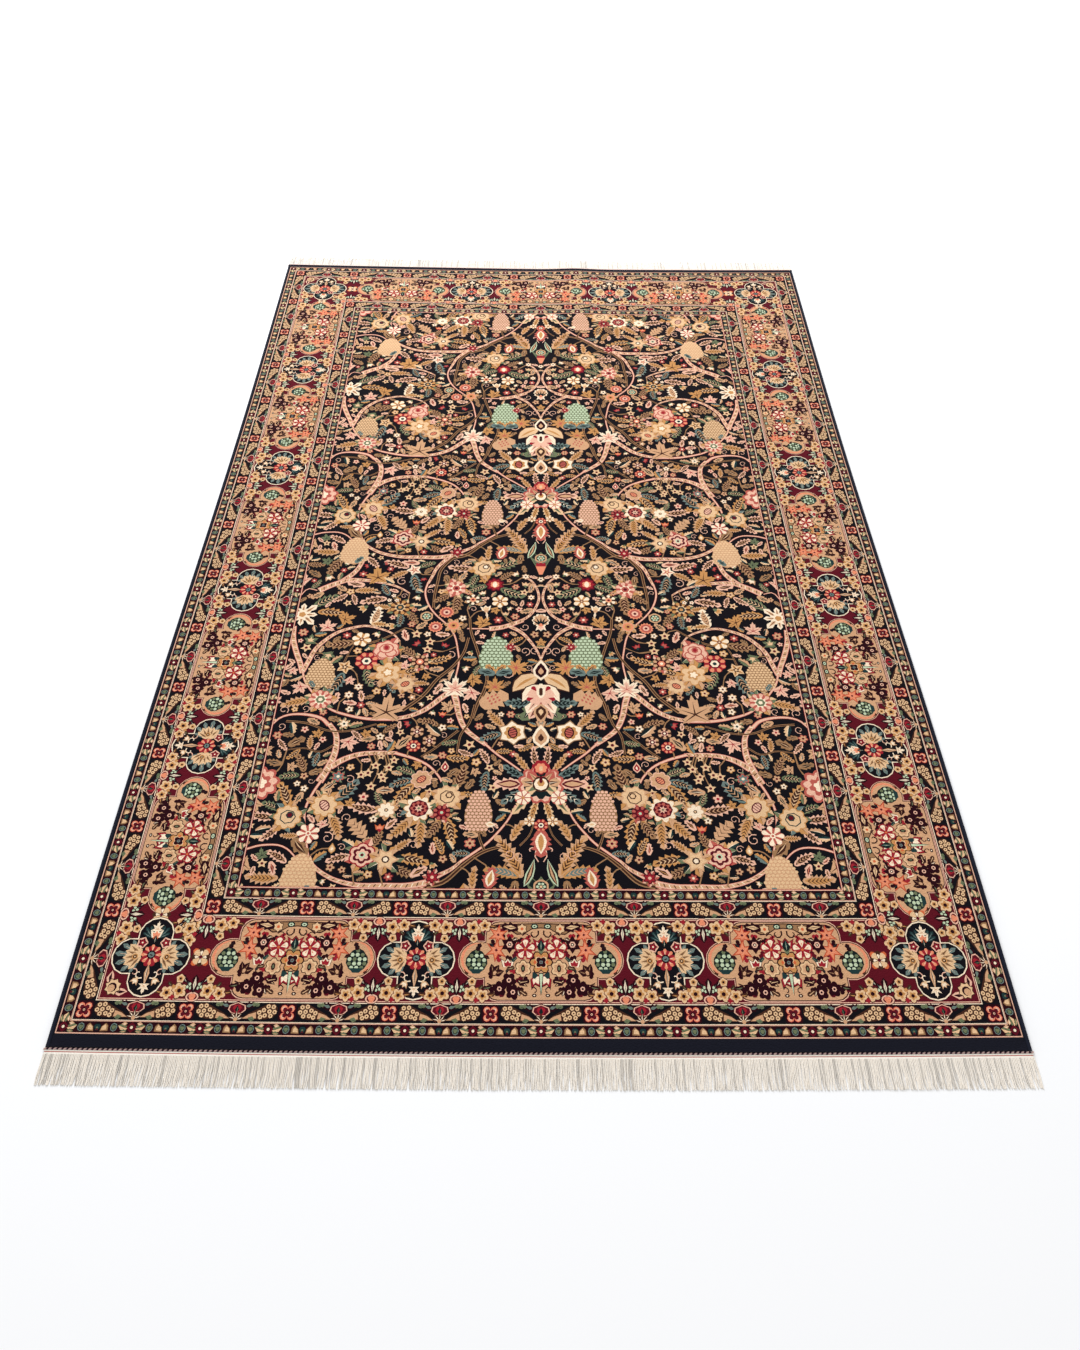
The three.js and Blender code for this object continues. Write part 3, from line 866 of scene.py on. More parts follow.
def spray():
    """The flowers between two medallions along one line of the main border."""
    half = leaves(
        ("plum", "steel", None, 0.24, 3, 6 + 15j, 22, 1.15),
        ("plum", "cream", None, 0.26, 2, 10 + 8j, 15, 0.4),
        ("brown", "sage", None, 0.3, 2, 40 + 20j, 16, 0.8),
        ("brown", "mint", None, 0.3, 0, 24 + 27j, 13, 0.9),
        ("brown", "gold", None, 0.3, 2, 58 + 12j, 16, 0.1),
        ("plum", "steel", "cream", 0.3, 2, 16 + 30j, 18, 0.95),
    )
    for edge, at, size, turn in (("brown", 27 + 15j, 15.5, 0.6), ("wine", 50 + 11j, 13.5, 1.5),
            ("brown", 29 + 37j, 9, 1.0)):
        half += placed(gold_blossom(edge), at, size, turn)
    half += [(lobed(4, 0.3, 2, 5.6, 0.6) + 38 + 3j, "ruby"), (lobed(4, 0.3, 2, 4.6, 0.3) + 39 + 22j, "gold")]
    for at in (7 + 20j, 13 + 22j, 9 + 27j):
        half += [(oval(3.8, 4.4, 6, at), "plum"), (oval(2.7, 3.3, 5, at), "mint")]
    motif = mirrored(half) + [(oval(14, 10, 10, 4j), "plum"), (oval(12.6, 8.8, 10, 4j), "blush")]
    motif += [(oval(9.6, 6.4, 9, 4j), "wine"), (lobed(3, 0.3, 3, 7.4, UP) + 4j, "salmon")]
    return motif + leaves(("plum", "cream", "steel", 0.22, 2, 11j, 34, UP))


def cross_star():
    motif = [(lobed(4, 0.5, 4, 19), "brown")] + placed(paint_all(petals(4, 0.62, 0.1), "orange"), 0, 21)
    motif += placed(paint_all(petals(4, 0.9, 0.1), "straw"), 0, 16.5)
    motif += placed(paint_all(petals(4, 0.6, 0.2), "cream"), 0, 12, math.pi / 4)
    return placed(motif, 0, 1, math.pi / 4) + [(disc(3.6, 0, 6), "wine")]


def corner_flower():
    """The flower in the main border's outer corner, up and right into the band."""
    half = leaves(("blush", "plum", None, 0.3, 0, 8 + 24j, 24, 1.5))
    motif = half + [(1j * np.conj(outline), paint) for outline, paint in half]
    motif += placed(flower((8, 0.2, 1, "brown"), (8, 0.24, 0.9, "straw")), 18 + 18j, 17)
    return motif + [(disc(9, 17 + 17j, 9), "plum"), (disc(7, 15.5 + 15.5j, 8), "tan")]


def guard_rosette():
    motif = [(rounded_box(16.6, 16.6, 7, 3), "plum")]
    for k in range(4):
        at = 9.2 * np.exp(1j * (k + 0.5) * UP)
        motif += [(disc(7.4, at, 8), "ruby"), (disc(6.4, at * 1.04, 8), "salmon"),
            (disc(3.6, at * 1.15, 6), "blush")]
    motif += [(lobed(4, 0.5, 4, 11.5), "wine"), (disc(4.4, 0, 7), "plum")]
    return motif + [(disc(2.4), "blush"), (disc(1.1, 0, 4), "plum")]


# Where a bunch's berries lie
BUNCH = (7 + 5j, 16 + 9j, 25.5 + 5j, 7 - 4.5j, 16 - 0.5j, 25.5 - 5j, 15.5 - 9j, 34.5 + 3.5j, 34 - 5j)


def grape_leaf():
    """A bunch of berries that tapers into a leaf, its blunt end at 0 and its tip along the real axis."""
    upper = [0 + 1j, 3 + 9j, 13 + 14j, 26 + 11j, 38 + 9j, 54 + 8j, 70 + 3j]
    lower = [56 - 2j, 40 - 8j, 26 - 12j, 12 - 13j, 3 - 8j]
    motif = [(np.array(upper + lower), "brown")]
    motif += [(np.array([40 + 6j, 54 + 6.2j, 67 + 2.6j, 54 - 0.2j, 42 - 5j]), "tan")]
    for at in BUNCH:
        motif += [(oval(4.5, 4.3, 6, at), "straw"), (disc(1.8, at, 4), "brown")]
    return motif


def wide_unit():
    """Half of the wide guard's repeat, from a rosette at 0."""
    return placed(grape_leaf(), 19 + 7j, 1, -0.32) + leaves(
        ("plum", "steel", "sage", 0.34, 3, 84 + 9j, 22, math.pi - 0.25),
        ("sage", "teal", None, 0.3, 2, 54 + 13j, 15, 0.1),
        ("sage", "teal", None, 0.34, 0, 60 - 13j, 14, 0.2),
    )


def guard_tulip():
    cup = both_ways([17.5j, 8 + 15.5j, 15 + 12j, 17 + 4j, 9 - 3j, -3j])
    motif = [(cup * 1.1, "plum"), (cup, "blush"), (cup * 0.86 + 0.8j, "wine"),
        (lobed(3, 0.4, 3, 9, UP) + 6j, "ruby")]
    motif += leaves(("pine", "sage", None, 0.3, 0, -2j, 14, UP))
    for turn in (0.25, 0.85, UP, math.pi - 0.85, math.pi - 0.25):
        motif += leaves(("brown", "cream", None, 0.26, 0, -13j, 16, turn))
    return motif + [(disc(4, -13j, 6), "tan")]


def narrow_unit():
    """Half of the narrow guard's repeat, from a dark star at 0."""
    half = placed(halved("straw", "sage", "brown", 0.3, 1), 7 - 2j, 19, 0.28)
    half += leaves(("sage", "tan", None, 0.3, 0, 8 - 6j, 13, -0.15),
        ("tan", "cream", None, 0.34, 0, 9 + 7j, 11, -0.1))
    half += [(oval(6.6, 7.6, 8, 33), "steel"), (oval(5, 6, 7, 33), "pine"),
        (lobed(3, 0.4, 3, 4.6, UP) + 33, "sage")]
    wing = np.array([42 - 7j, 50 - 8.5j, 58 - 8j, 56 + 1j, 51 + 4j, 48 + 8j, 43 + 3j])
    return half + [(wing, "brown"), (wing * 0.9 + 5.4, "khaki"), (wing * 0.6 + 21, "straw")]


def narrow_star():
    return [(star(4, 0.6, 10), "wine"), (disc(4.4, 0, 7), "plum"), (disc(2.9, 0, 6), "cream")]


def narrow_bell():
    motif = [(oval(7.4, 8.4, 8), "night"), (lobed(3, 0.4, 3, 6.5, UP), "teal"), (disc(2.2, -1j), "sage")]
    return motif + [(lobed(3, 0.5, 2, 3, -UP) - 4j, "wine")]


# The field, in squares of 5 mm: out from the axis that runs up the middle, and up from the near edge

SQUARE = 5
# How far up the field the pattern repeats, in millimetres
REPEAT = 964

# The vines: style, width at the start and at the end in millimetres, then the squares that each passes
VINES = [
    ("trunk", 17, 9, [(115, 168), (109, 172), (104, 175), (98, 182), (95, 190), (94, 196)]),
    ("trunk", 13, 4, [(105, 174), (100, 176), (93, 176), (86, 175), (78, 173), (72, 170), (68, 167)]),
    ("trunk", 13, 12, [(124, 143), (123, 135), (120, 126), (117, 119), (115, 113)]),
    ("trunk", 12, 4, [(115, 114), (113, 121), (111, 128), (107, 134), (102, 139), (96, 142), (88, 144),
                      (80, 142), (74, 139), (70, 134)]),
    ("line", 5, 5, [(115, 114), (113, 108), (109, 102), (105, 97)]),
    ("line", 5, 10, [(104, 96), (98, 91), (90, 88), (80, 86), (68, 86)]),
    ("trunk", 9, 14, [(69, 86), (61, 88), (54, 92), (48, 98), (43, 103)]),
    ("trunk", 15, 9, [(42, 104), (40, 97), (38, 88), (35, 81), (30, 76), (25, 72)]),
    ("line", 6, 4, [(26, 73), (20, 67), (15, 63), (9, 58)]),
    ("trunk", 5, 7, [(9, 180), (5, 177), (2, 171), (1, 164), (3, 157), (6, 152), (11, 148)]),
    ("trunk", 14, 11, [(26, 143), (20, 144), (15, 146), (9, 149)]),
    ("trunk", 10, 4, [(16, 145), (10, 141), (6, 136), (2, 129), (0, 123)]),
    ("line", 4, 4, [(26, 143), (31, 143), (37, 143)]),
    ("trunk", 12, 6, [(45, 198), (50, 193), (55, 186), (57, 180), (59, 174)]),
    ("line", 5, 4, [(59, 175), (60, 168), (58, 160), (54, 153), (47, 145), (43, 138), (41, 129),
                    (40, 121), (41, 112)]),
    ("stem", 9, 6, [(44, 197), (49, 191), (53, 184), (54, 176), (55, 166), (55, 157)]),
    ("stem", 6, 8, [(36, 150), (35, 141), (32, 131), (29, 121), (26, 112), (27, 104), (30, 95), (32, 87)]),
    ("stem", 6, 9, [(36, 137), (38, 127), (43, 118), (50, 110), (56, 100), (65, 91)]),
    ("line", 4, 10, [(124, 82), (121, 86), (116, 88), (109, 88), (102, 86), (98, 82)]),
    ("trunk", 10, 17, [(98, 83), (94, 77), (93, 69), (94, 62), (96, 56), (98, 51)]),
    ("trunk", 15, 8, [(94, 59), (89, 63), (82, 66), (74, 67), (65, 67)]),
    ("line", 8, 4, [(66, 67), (57, 64), (50, 60), (45, 54), (43, 49)]),
    ("line", 6, 4, [(97, 52), (100, 45), (102, 37), (101, 28), (99, 20), (97, 13)]),
    ("trunk", 7, 14, [(97, 14), (95, 10), (90, 6), (84, 3), (75, 1), (65, 1), (55, 1), (45, 3)]),
    ("line", 4, 6, [(11, 40), (14, 33), (18, 27), (23, 21), (29, 16), (34, 12)]),
    ("trunk", 5, 12, [(33, 13), (37, 9), (42, 6), (47, 3)]),
    ("stem", 11, 6, [(47, 1), (40, 3), (33, 10), (26, 16), (19, 19), (14, 19)]),
    ("stem", 6, 4, [(24, 18), (26, 23), (27, 28)]),
    ("stem", 6, 5, [(31, 95), (33, 85), (37, 77), (38, 67)]),
    ("stem", 6, 5, [(38, 80), (44, 74), (49, 69), (54, 65)]),
    ("stem", 6, 4, [(118, 84), (108, 83), (98, 79), (88, 79), (76, 83)]),
    ("stem", 5, 3, [(94, 71), (100, 67), (107, 69), (115, 68)]),
    ("stem", 4, 3, [(9, 20), (5, 25), (3, 31)]),
    ("line", 5, 3, [(124, 17), (118, 19), (110, 19), (104, 15), (99, 7)]),
    ("line", 3, 3, [(124, 164), (121, 169), (116, 168)]),
    ("stem", 7, 4, [(93, 132), (84, 133), (76, 137), (68, 143)]),
    ("stem", 5, 3, [(96, 119), (94, 127), (92, 132)]),
]

# The main flowers: kind, square out, square up, size across in millimetres, turn in degrees
FLOWERS = [
    ("cone_plain", 100, 198, 104, 0), ("maple_gold", 86, 181, 62, 8), ("lily", 67, 184, 42, 20),
    ("eyed_straw", 30, 186, 66, 0), ("frilled_ruby", 24, 174, 50, 0), ("rosette_blush", 44, 171, 54, 0),
    ("rosette_small", 35, 163, 38, 0), ("six_gold", 21, 162, 46, 0), ("rosette_gold", 72, 157, 54, 0),
    ("trio_cream", 76, 163, 40, 0), ("fringed_rose", 48, 154, 40, 0), ("fringed_rose", 53, 144, 38, 0),
    ("fringed_tan", 44, 145, 38, 0), ("wing_leaf", 84, 148, 80, 60), ("star_lily", 121, 151, 96, 0),
    ("maple_green", 114, 135, 34, 0), ("six_gold", 89, 135, 50, 20), ("cabbage_rose", 76, 128, 68, 10),
    ("rosette_ruby", 85, 121, 58, 0), ("peony_gold", 74, 114, 70, 0), ("rosette_dusk", 59, 121, 46, 0),
    ("maple_green", 104, 123, 34, 190), ("lily_gold", 95, 117, 44, 190), ("cone_gold", 106, 113, 96, 0),
    ("rosette_wide", 104, 97, 58, 0), ("blossom_cream", 87, 105, 24, 0),
    ("blossom_cream", 91, 100, 24, 0), ("maple_tan", 72, 94, 82, -4), ("striped_gold", 65, 107, 48, -60),
    ("blossom_tan", 61, 99, 24, 0), ("starlet", 62, 139, 30, 0), ("starlet", 55, 134, 28, 0),
    ("starlet", 56, 129, 28, 0), ("basket", 58, 151, 34, 0), ("tulip_cream", 28, 156, 34, 8),
    ("tulip_small", 18, 153, 26, 0), ("palmette_small", 0, 148, 66, 0), ("maple_gold", 0, 135, 26, 0),
    ("fan_cup", 0, 190, 84, 0), ("tulip_small", 8, 174, 30, -5), ("blossom_cream", 8, 180, 22, 0),
    ("blossom_cream", 5, 165, 20, 0), ("scroll", 6, 128, 40, 100), ("scroll", 5, 117, 26, 60),
    ("cone_mint", 22, 126, 122, 0), ("maple_orange", 22, 108, 48, 0), ("maple_orange", 10, 119, 52, -60),
    ("maple_blush", 41, 107, 66, 0), ("palmette_mottled", 22, 98, 84, 30),
    ("palmette_main", 0, 104, 176, 0), ("blossom_ruby", 15, 131, 22, 0), ("striped_cream", 13, 79, 66, 5),
    ("rosette_tan", 57, 79, 34, 0), ("rosette_tan", 51, 74, 34, 0), ("rosette_ruby", 58, 71, 34, 0),
    ("blossom_eye", 91, 83, 26, 0), ("tulip_orange", 46, 89, 26, 0), ("starlet", 74, 60, 26, 0),
    ("starlet", 68, 59, 26, 0), ("starlet", 77, 56, 26, 0), ("starlet", 71, 55, 24, 0),
    ("starlet", 80, 55, 26, 0), ("starlet", 70, 53, 24, 0), ("starlet", 75, 49, 26, 0),
    ("starlet", 66, 63, 24, 0), ("starlet", 72, 65, 20, 0), ("striped_blush", 53, 53, 50, -50),
    ("rosette_great", 53, 38, 68, 0), ("lobed_cream", 67, 37, 42, 0), ("eyed_tan", 41, 44, 62, 0),
    ("rosette_wine", 43, 36, 40, 0), ("striped_straw", 94, 39, 62, 30), ("eyed_gold", 109, 33, 64, 0),
    ("seven_blush", 99, 25, 52, 0), ("rosette_dusk_big", 75, 15, 60, 0), ("star_tan", 65, 13, 58, 0),
    ("tulip_orange", 69, 28, 30, 0), ("oak_tan", 78, 28, 66, 125), ("bud_gold", 88, 18, 26, 0),
    ("cone_beige", 27, 37, 108, 0), ("palmette_edge", 124, 50, 90, -90), ("starburst", 0, 51, 196, 0),
    ("feather", 12, 16, 118, 110), ("tusk", 4, 7, 68, 63), ("basket", 0, 1, 34, 0),
    ("hook", 5, 16, 36, 0), ("gold_leaf", 16, 9, 78, 151), ("plume_small", 29, 5, 56, 100),
    ("flame", 21, 5, 50, 78), ("plume_small", 11, 28, 60, 75), ("six_gold", 5, 32, 26, 0),
    ("scroll", 12, 15, 36, 80), ("bud_cream", 0, 77, 66, 0), ("rosette_ruby", 0, 30, 32, 0),
    ("flame", 0, 21, 66, -90), ("blossom_ruby", 45, 5, 30, 0), ("blossom_steel", 90, 54, 30, 0),
    ("bud_ruby", 43, 60, 30, 0),
]


# The charted plan of the borders, of which one quarter is drawn

HALF_WIDTH, HALF_LENGTH = 915, 1390
END_EXTRA = 10
FIELD_HALF_WIDTH, FIELD_HALF_LENGTH = 618, 1083
# How far the drawn quarter goes beyond the middle
OVERDRAW = 60
OUTLINE_STEP = 40
# Nested bands from the side edge inwards; the end bands lie END_EXTRA further in
BANDS = [
    (12, "blush"), (14, "plum"), (34, "blush"), (35.2, "wine"), (35.8, "cream"), (37, "night"),
    (71, "cream"), (72.6, "wine"), (74.4, "blush"), (76, "wine"),
    (232, "blush"), (233.6, "wine"), (235.4, "cream"), (237, "night"),
    (271, "cream"), (272.2, "wine"), (272.8, "blush"), (274, "plum"), (294, "blush"), (296, "ruby"),
]
# The middle of each guard stripe, and its repeats along a whole end and a whole side
NARROW_GUARDS = ((24, 14, 22), (284, 10, 18))
WIDE_GUARDS = ((54, 9, 14), (254, 7, 12))
# The main border's middle line, and how far from it the sprays grow
MAIN_MIDDLE, SPRAY_LINE = 154, 78
# Places along an end and a side, from the middle: cross star, long panels, medallions and sprays
END_PLACES = (-664, (-485, 0), (-244,), (-664, -323, -162))
SIDE_PLACES = (-1144, (-980.8, -490.4, 0), (-735.6, -245.2), (-1144, -817, -654, -327, -164))
CORNER_MEDALLION = -761


def end_place(along, inward):
    return along + 1j * (inward + END_EXTRA - HALF_LENGTH), 0.0


def side_place(along, inward):
    return inward - HALF_WIDTH + 1j * along, -UP


def run_guard(chart, place, inward, length, count, unit, joint, middle):
    """One guard stripe's repeats from the quarter's corner to the middle of the side."""
    repeat = length / count
    whole = mirrored(placed(unit, -repeat / 2)) + middle
    for k in range(count // 2 + 1):
        start = k * repeat - length / 2
        at, turn = place(start + repeat / 2, inward)
        chart.stamp(whole, at, 1, turn)
        at, turn = place(start, inward)
        chart.stamp(joint, at, 1, turn)


def run_main_border(chart, place, corner, panels, medallions, gaps):
    for motif, places in ((long_panel(), panels), (medallion(), medallions), (cross_star(), (corner,))):
        for along in places:
            at, turn = place(along, MAIN_MIDDLE)
            chart.stamp(motif, at, 1, turn)
    for along in gaps:
        at, turn = place(along, MAIN_MIDDLE - SPRAY_LINE)
        chart.stamp(spray(), at, 1, turn)
        at, turn = place(along, MAIN_MIDDLE + SPRAY_LINE)
        chart.stamp(spray(), at, 1, turn + math.pi)


def draw_band(chart, beside, beyond, paint):
    """Paints all that lies further in than a band's outer edges."""
    x, y = beside - HALF_WIDTH, beyond - HALF_LENGTH
    box = [x + 1j * y, OVERDRAW + 1j * y, OVERDRAW + 1j * OVERDRAW, x + 1j * OVERDRAW]
    chart.draw(stepped(np.array(box), OUTLINE_STEP), paint)


def border_chart():
    chart = Chart()
    draw_band(chart, END_EXTRA - 1, 0, "ink")
    for inset, paint in BANDS:
        draw_band(chart, inset, inset + END_EXTRA, paint)
    for place, half, column in ((end_place, HALF_WIDTH, 1), (side_place, HALF_LENGTH - END_EXTRA, 2)):
        for guard in NARROW_GUARDS:
            run_guard(chart, place, guard[0], 2 * (half - guard[0]), guard[column], narrow_unit(),
                narrow_star(), narrow_bell())
        for guard in WIDE_GUARDS:
            run_guard(chart, place, guard[0], 2 * (half - guard[0]), guard[column], wide_unit(),
                guard_rosette(), guard_tulip())
    run_main_border(chart, end_place, *END_PLACES)
    run_main_border(chart, side_place, *SIDE_PLACES)
    chart.stamp(medallion(), end_place(CORNER_MEDALLION, MAIN_MIDDLE)[0])
    chart.stamp(corner_flower(), side_place(END_EXTRA + SPRAY_LINE - HALF_LENGTH, SPRAY_LINE)[0])
    return chart


# The field's chart: the listed vines and flowers, then leaves and small flowers in the room that is left


def field_place(out, up):
    return SQUARE * complex(-out, up)


# The grid that measures the bare ground, in millimetres: its pitch, how far it goes beyond the side edge
# and beyond the axis, and the longest distance that it holds
CELL = 2.5
ROOM_BESIDE, ROOM_ACROSS = 10, 2
ROOM_REACH = 40
# How far beyond the axis a place may lie, and the space kept round a leaf
AXIS_SLACK, MARGIN = 1, 2.0


class Room:
    """The bare ground that is left in the field's repeat, as the distance to the nearest motif."""

    def __init__(self):
        self.across = np.arange(-FIELD_HALF_WIDTH - ROOM_BESIDE, ROOM_ACROSS, CELL)
        self.rows = round(REPEAT / CELL)
        self.free = np.full((self.rows, len(self.across)), float(ROOM_REACH))

    def take(self, at, reach):
        """Takes a disc's ground, and its mirror image's beyond the axis."""
        span = math.ceil((reach + ROOM_REACH) / CELL)
        for centre in (at, -np.conj(at)):
            column = round((centre.real - self.across[0]) / CELL)
            first, last = max(0, column - span), min(len(self.across), column + span + 1)
            if first >= last:
                continue
            row = math.floor(centre.imag / CELL)
            rows = np.arange(row - span, row + span + 1)
            apart = np.hypot(self.across[first:last] - centre.real,
                (rows * CELL - centre.imag)[:, None]) - reach
            rows %= self.rows
            self.free[rows, first:last] = np.minimum(self.free[rows, first:last], apart)

    def around(self, place):
        """The free distance at a place, in the field and its repeats."""
        column = round((place.real - self.across[0]) / CELL)
        if place.real > AXIS_SLACK or column < 0:
            return -1
        return self.free[round(place.imag / CELL) % self.rows, min(column, len(self.across) - 1)]

    def widest(self):
        """The barest place and its free distance."""
        row, column = np.unravel_index(np.argmax(self.free), self.free.shape)
        return self.across[column] + 1j * row * CELL, self.free[row, column]


LEAVES = [
    halved("straw", "teal", "cream", 0.28, 4, 0.45), halved("sage", "tan", "brown", 0.28, 4, -0.45),
    leaf("tan", "brown", "cream", 0.28, 4, 0.4), leaf("tan", "pine", "straw", 0.28, 4, -0.4),
    leaf("khaki", "pine", "tan", 0.28, 4, 0.4), leaf("tan", "teal", "cream", 0.28, 4, 0.5),
    leaf("blush", "brown", "tan", 0.26, 3, 0.4), halved("gold", "steel", "brown", 0.28, 4, 0.4),
    leaf("blush", "brown", "gold", 0.26, 4, -0.4), leaf("khaki", "brown", "straw", 0.3, 3, -0.4),
    halved("tan", "pine", "cream", 0.28, 4, 0.5), leaf("blush", "wine", "salmon", 0.26, 4, -0.4),
]
GREAT_LEAVES = [
    plume("khaki", "brown", "tan", 0.24, 5, 0.5), plume("tan", "gold", "brown", 0.22, 6, 0.4),
    plume("steel", "pine", "tan", 0.24, 5, -0.5), plume("gold", "brown", "straw", 0.22, 5, 0.6),
    plume("blush", "brown", "tan", 0.22, 5, -0.4), plume("sage", "pine", "straw", 0.24, 5, -0.5),
]
BROAD_LEAVES = [broad(maple(*dyes)) for dyes in (("tan", "brown"), ("gold", "brown"), ("sage", "pine"),
    ("blush", "ruby"))]
BLOSSOMS = [
    blossom(5, "gold", "straw", "wine"), blossom(6, "wine", "rose", "cream"),
    blossom(5, "brown", "tan", "wine"), starlet(), blossom(6, "rose", "tan", "wine"),
    blossom(5, "khaki", "cream", "brown"), blossom(5, "brown", "blush", "ruby"),
]
TULIPS = [upright(tulip(*dyes)) for dyes in (("cream", "tan", "sage"), ("rose", "ruby", "teal"),
    ("gold", "straw", "sage"))]
CURLS = [curl("blush"), placed(curl("blush"), flip=True)]

# A leaf's lengths in millimetres, the longest first, and the least length of one with barbs
LEAF_LENGTHS = (72, 62, 54, 47, 40, 34, 28, 23, 18)
GREAT_LENGTH = 40
# Where a leaf's three discs lie along it, and their reach, as shares of its length
LEAF_DISCS = ((0.3, 0.17), (0.58, 0.2), (0.88, 0.09))


def grow_leaf(stamps, room, pick, base, toward, longest=LEAF_LENGTHS[0]):
    """Adds the longest leaf that fits at a base."""
    for length in LEAF_LENGTHS:
        discs = [(base + share * length * unit(toward), reach * length) for share, reach in LEAF_DISCS]
        if length <= longest and all(room.around(at) > reach + MARGIN for at, reach in discs):
            kinds = GREAT_LEAVES if length >= GREAT_LENGTH else LEAVES
            stamps.append((pick.choice(kinds), base, length, toward, pick.random() < 0.5))
            for at, reach in discs:
                room.take(at, reach)
            return


# A leaf laid through a gap, as shares of the gap's reach: where its ends are tested, the least room there for
# a long leaf, a long and a short leaf's half length, and the ground taken at its ends and its middle
GAP_TURNS = 12
GAP_LOOK, OPEN_GAP = 1.5, 0.35
LONG_LEAF, SHORT_LEAF = 1.9, 1.15
LEAF_END, LEAF_MIDDLE = 0.55, 0.8


def along_gap(stamps, room, pick, at, reach):
    """Lays a leaf through a gap, the way that has most room. Returns the reach of its middle."""

    def room_along(turn):
        far = GAP_LOOK * reach * unit(turn)
        return min(room.around(at + far), room.around(at - far))

    turn = max(np.arange(GAP_TURNS) * math.pi / GAP_TURNS, key=room_along)
    half = reach * (LONG_LEAF if room_along(turn) > OPEN_GAP * reach else SHORT_LEAF)
    turn += math.pi * pick.choice((0, 1))
    ahead = half * unit(turn)
    stamps.append((pick.choice(LEAVES), at - ahead, 2 * half, turn, pick.random() < 0.5))
    for share in (-0.5, 0.5):
        room.take(at + share * ahead, LEAF_END * reach)
    return reach * LEAF_MIDDLE


# A sprig's leaves, the size of its flower and where they root, as shares of its own size
SPRIG_LEAVES, SPRIG_FLOWER, SPRIG_ROOT = 5, 0.5, 0.45


def sprig(stamps, room, pick, at, size, turn):
    """A small flower with leaves all round."""
    stamps.append((pick.choice(BLOSSOMS), at, size * SPRIG_FLOWER, turn, False))
    room.take(at, size * SPRIG_FLOWER)
    for k in range(SPRIG_LEAVES):
        toward = turn + TAU * k / SPRIG_LEAVES
        grow_leaf(stamps, room, pick, at + SPRIG_ROOT * size * unit(toward), toward)


# The free distances in millimetres below which nothing is added, and above which a sprig is
LEAST_ROOM, SPRIG_ROOM = 8.8, 20
WIDEST_FILLER = 24
# What fills a place with more than the given room: each choice's draw, motifs and share of the room
FILLINGS = (
    (SPRIG_ROOM, ((0.25, BROAD_LEAVES, 0.92),)),
    (11, ((0.3, BLOSSOMS, 0.81), (0.45, BROAD_LEAVES, 1.0), (0.6, TULIPS, 0.9), (0.7, CURLS, 0.81))),
    (0, ((0.14, BLOSSOMS, 0.88), (0.22, CURLS, 0.88))),
)


def fill_place(stamps, room, pick, at, reach):
    """Lays one motif on a bare place, or else a sprig or a leaf."""
    draw, turn = pick.random(), pick.uniform(0, TAU)
    for share, motifs, size in next(choices for least, choices in FILLINGS if reach > least):
        if draw < share:
            reach = min(reach, WIDEST_FILLER)
            stamps.append((pick.choice(motifs), at, size * reach, turn, False))
            room.take(at, reach)
            return
    if reach > SPRIG_ROOM:
        sprig(stamps, room, pick, at, min(reach, WIDEST_FILLER), turn)
    else:
        room.take(at, along_gap(stamps, room, pick, at, reach))


# Each style of vine: its layers from the lowest, as shares of its width, with their paints
VINE_LAYERS = {
    "stem": ((1, "khaki"), (0.45, "brown")),
    "line": ((1.1, "rose"), (0.75, "blush")),
    "trunk": ((1.15, "rose"), (1.0, "blush"), (0.5, "tan")),
}


# The steps along a drawn vine, in millimetres
VINE_STEP = 11
# A trunk's slanting bands: half their width as a share of the vine's, and how far ahead their corners lie
BAND_SHARE, BAND_AHEAD = 0.3, (2.2, 6.5, 4)


def draw_vine(chart, style, start, end, places, rise):
    line = smooth([field_place(*place) + 1j * rise for place in places], VINE_STEP)
    widths = np.linspace(start, end, len(line))
    for share, paint in VINE_LAYERS[style]:
        chart.draw(ribbon(line, widths * share), paint)
    if style != "trunk":
        return
    ahead = np.gradient(line)
    ahead /= np.abs(ahead)
    low_end, high_end, high_start = BAND_AHEAD
    for k, (at, step) in enumerate(zip(line[:-1], ahead)):
        across = 1j * BAND_SHARE * step * widths[k]
        band = [at - across, at - across + step * low_end, at + across + step * high_end,
            at + across + step * high_start]
        chart.draw(np.array(band), "brown" if k % 2 else "cream")


# A stem's width, the steps along it and how far it bows, as a share of its length
STEM_WIDTH, STEM_STEP, STEM_BOW = 3.0, 10, 0.16
# A flower's distance from the nearest vine, in millimetres, if it has a stem of its own
STEM_REACH = (20, 110)


def draw_stem(stamps, room, at, vine_places):
    """A thin stem from the nearest vine to a flower."""
    start = vine_places[np.argmin(np.abs(vine_places - at))]
    if not STEM_REACH[0] < abs(at - start) < STEM_REACH[1]:
        return
    line = smooth([start, (start + at) / 2 + 1j * STEM_BOW * (at - start), at], STEM_STEP)
    stamps.append(([(ribbon(line, np.full(len(line), STEM_WIDTH)), "khaki")], 0, 1, 0, False))
    for place in line:
        room.take(place, STEM_WIDTH / 2)


# Leaves along a vine: the bare steps at its ends, the steps between two, how far they turn aside in radians,
# where they root as a share of the vine's width, and the longest
BARE_STEPS, VINE_LEAF_STEPS, VINE_LEAF_TURN = 2, 4, (0.6, 1.1)
VINE_LEAF_ROOT, VINE_LEAF_LONGEST = 0.35, 44


def grow_vine_leaves(stamps, room, pick, line, widths):
    """Leaves to the left and right of a vine by turns."""
    ahead = np.angle(np.gradient(line))
    for k in range(BARE_STEPS, len(line) - BARE_STEPS, VINE_LEAF_STEPS):
        side = (-1) ** (k // VINE_LEAF_STEPS + 1)
        toward = ahead[k] + side * pick.uniform(*VINE_LEAF_TURN)
        root = line[k] + VINE_LEAF_ROOT * widths[k] * unit(toward)
        grow_leaf(stamps, room, pick, root, toward, VINE_LEAF_LONGEST)


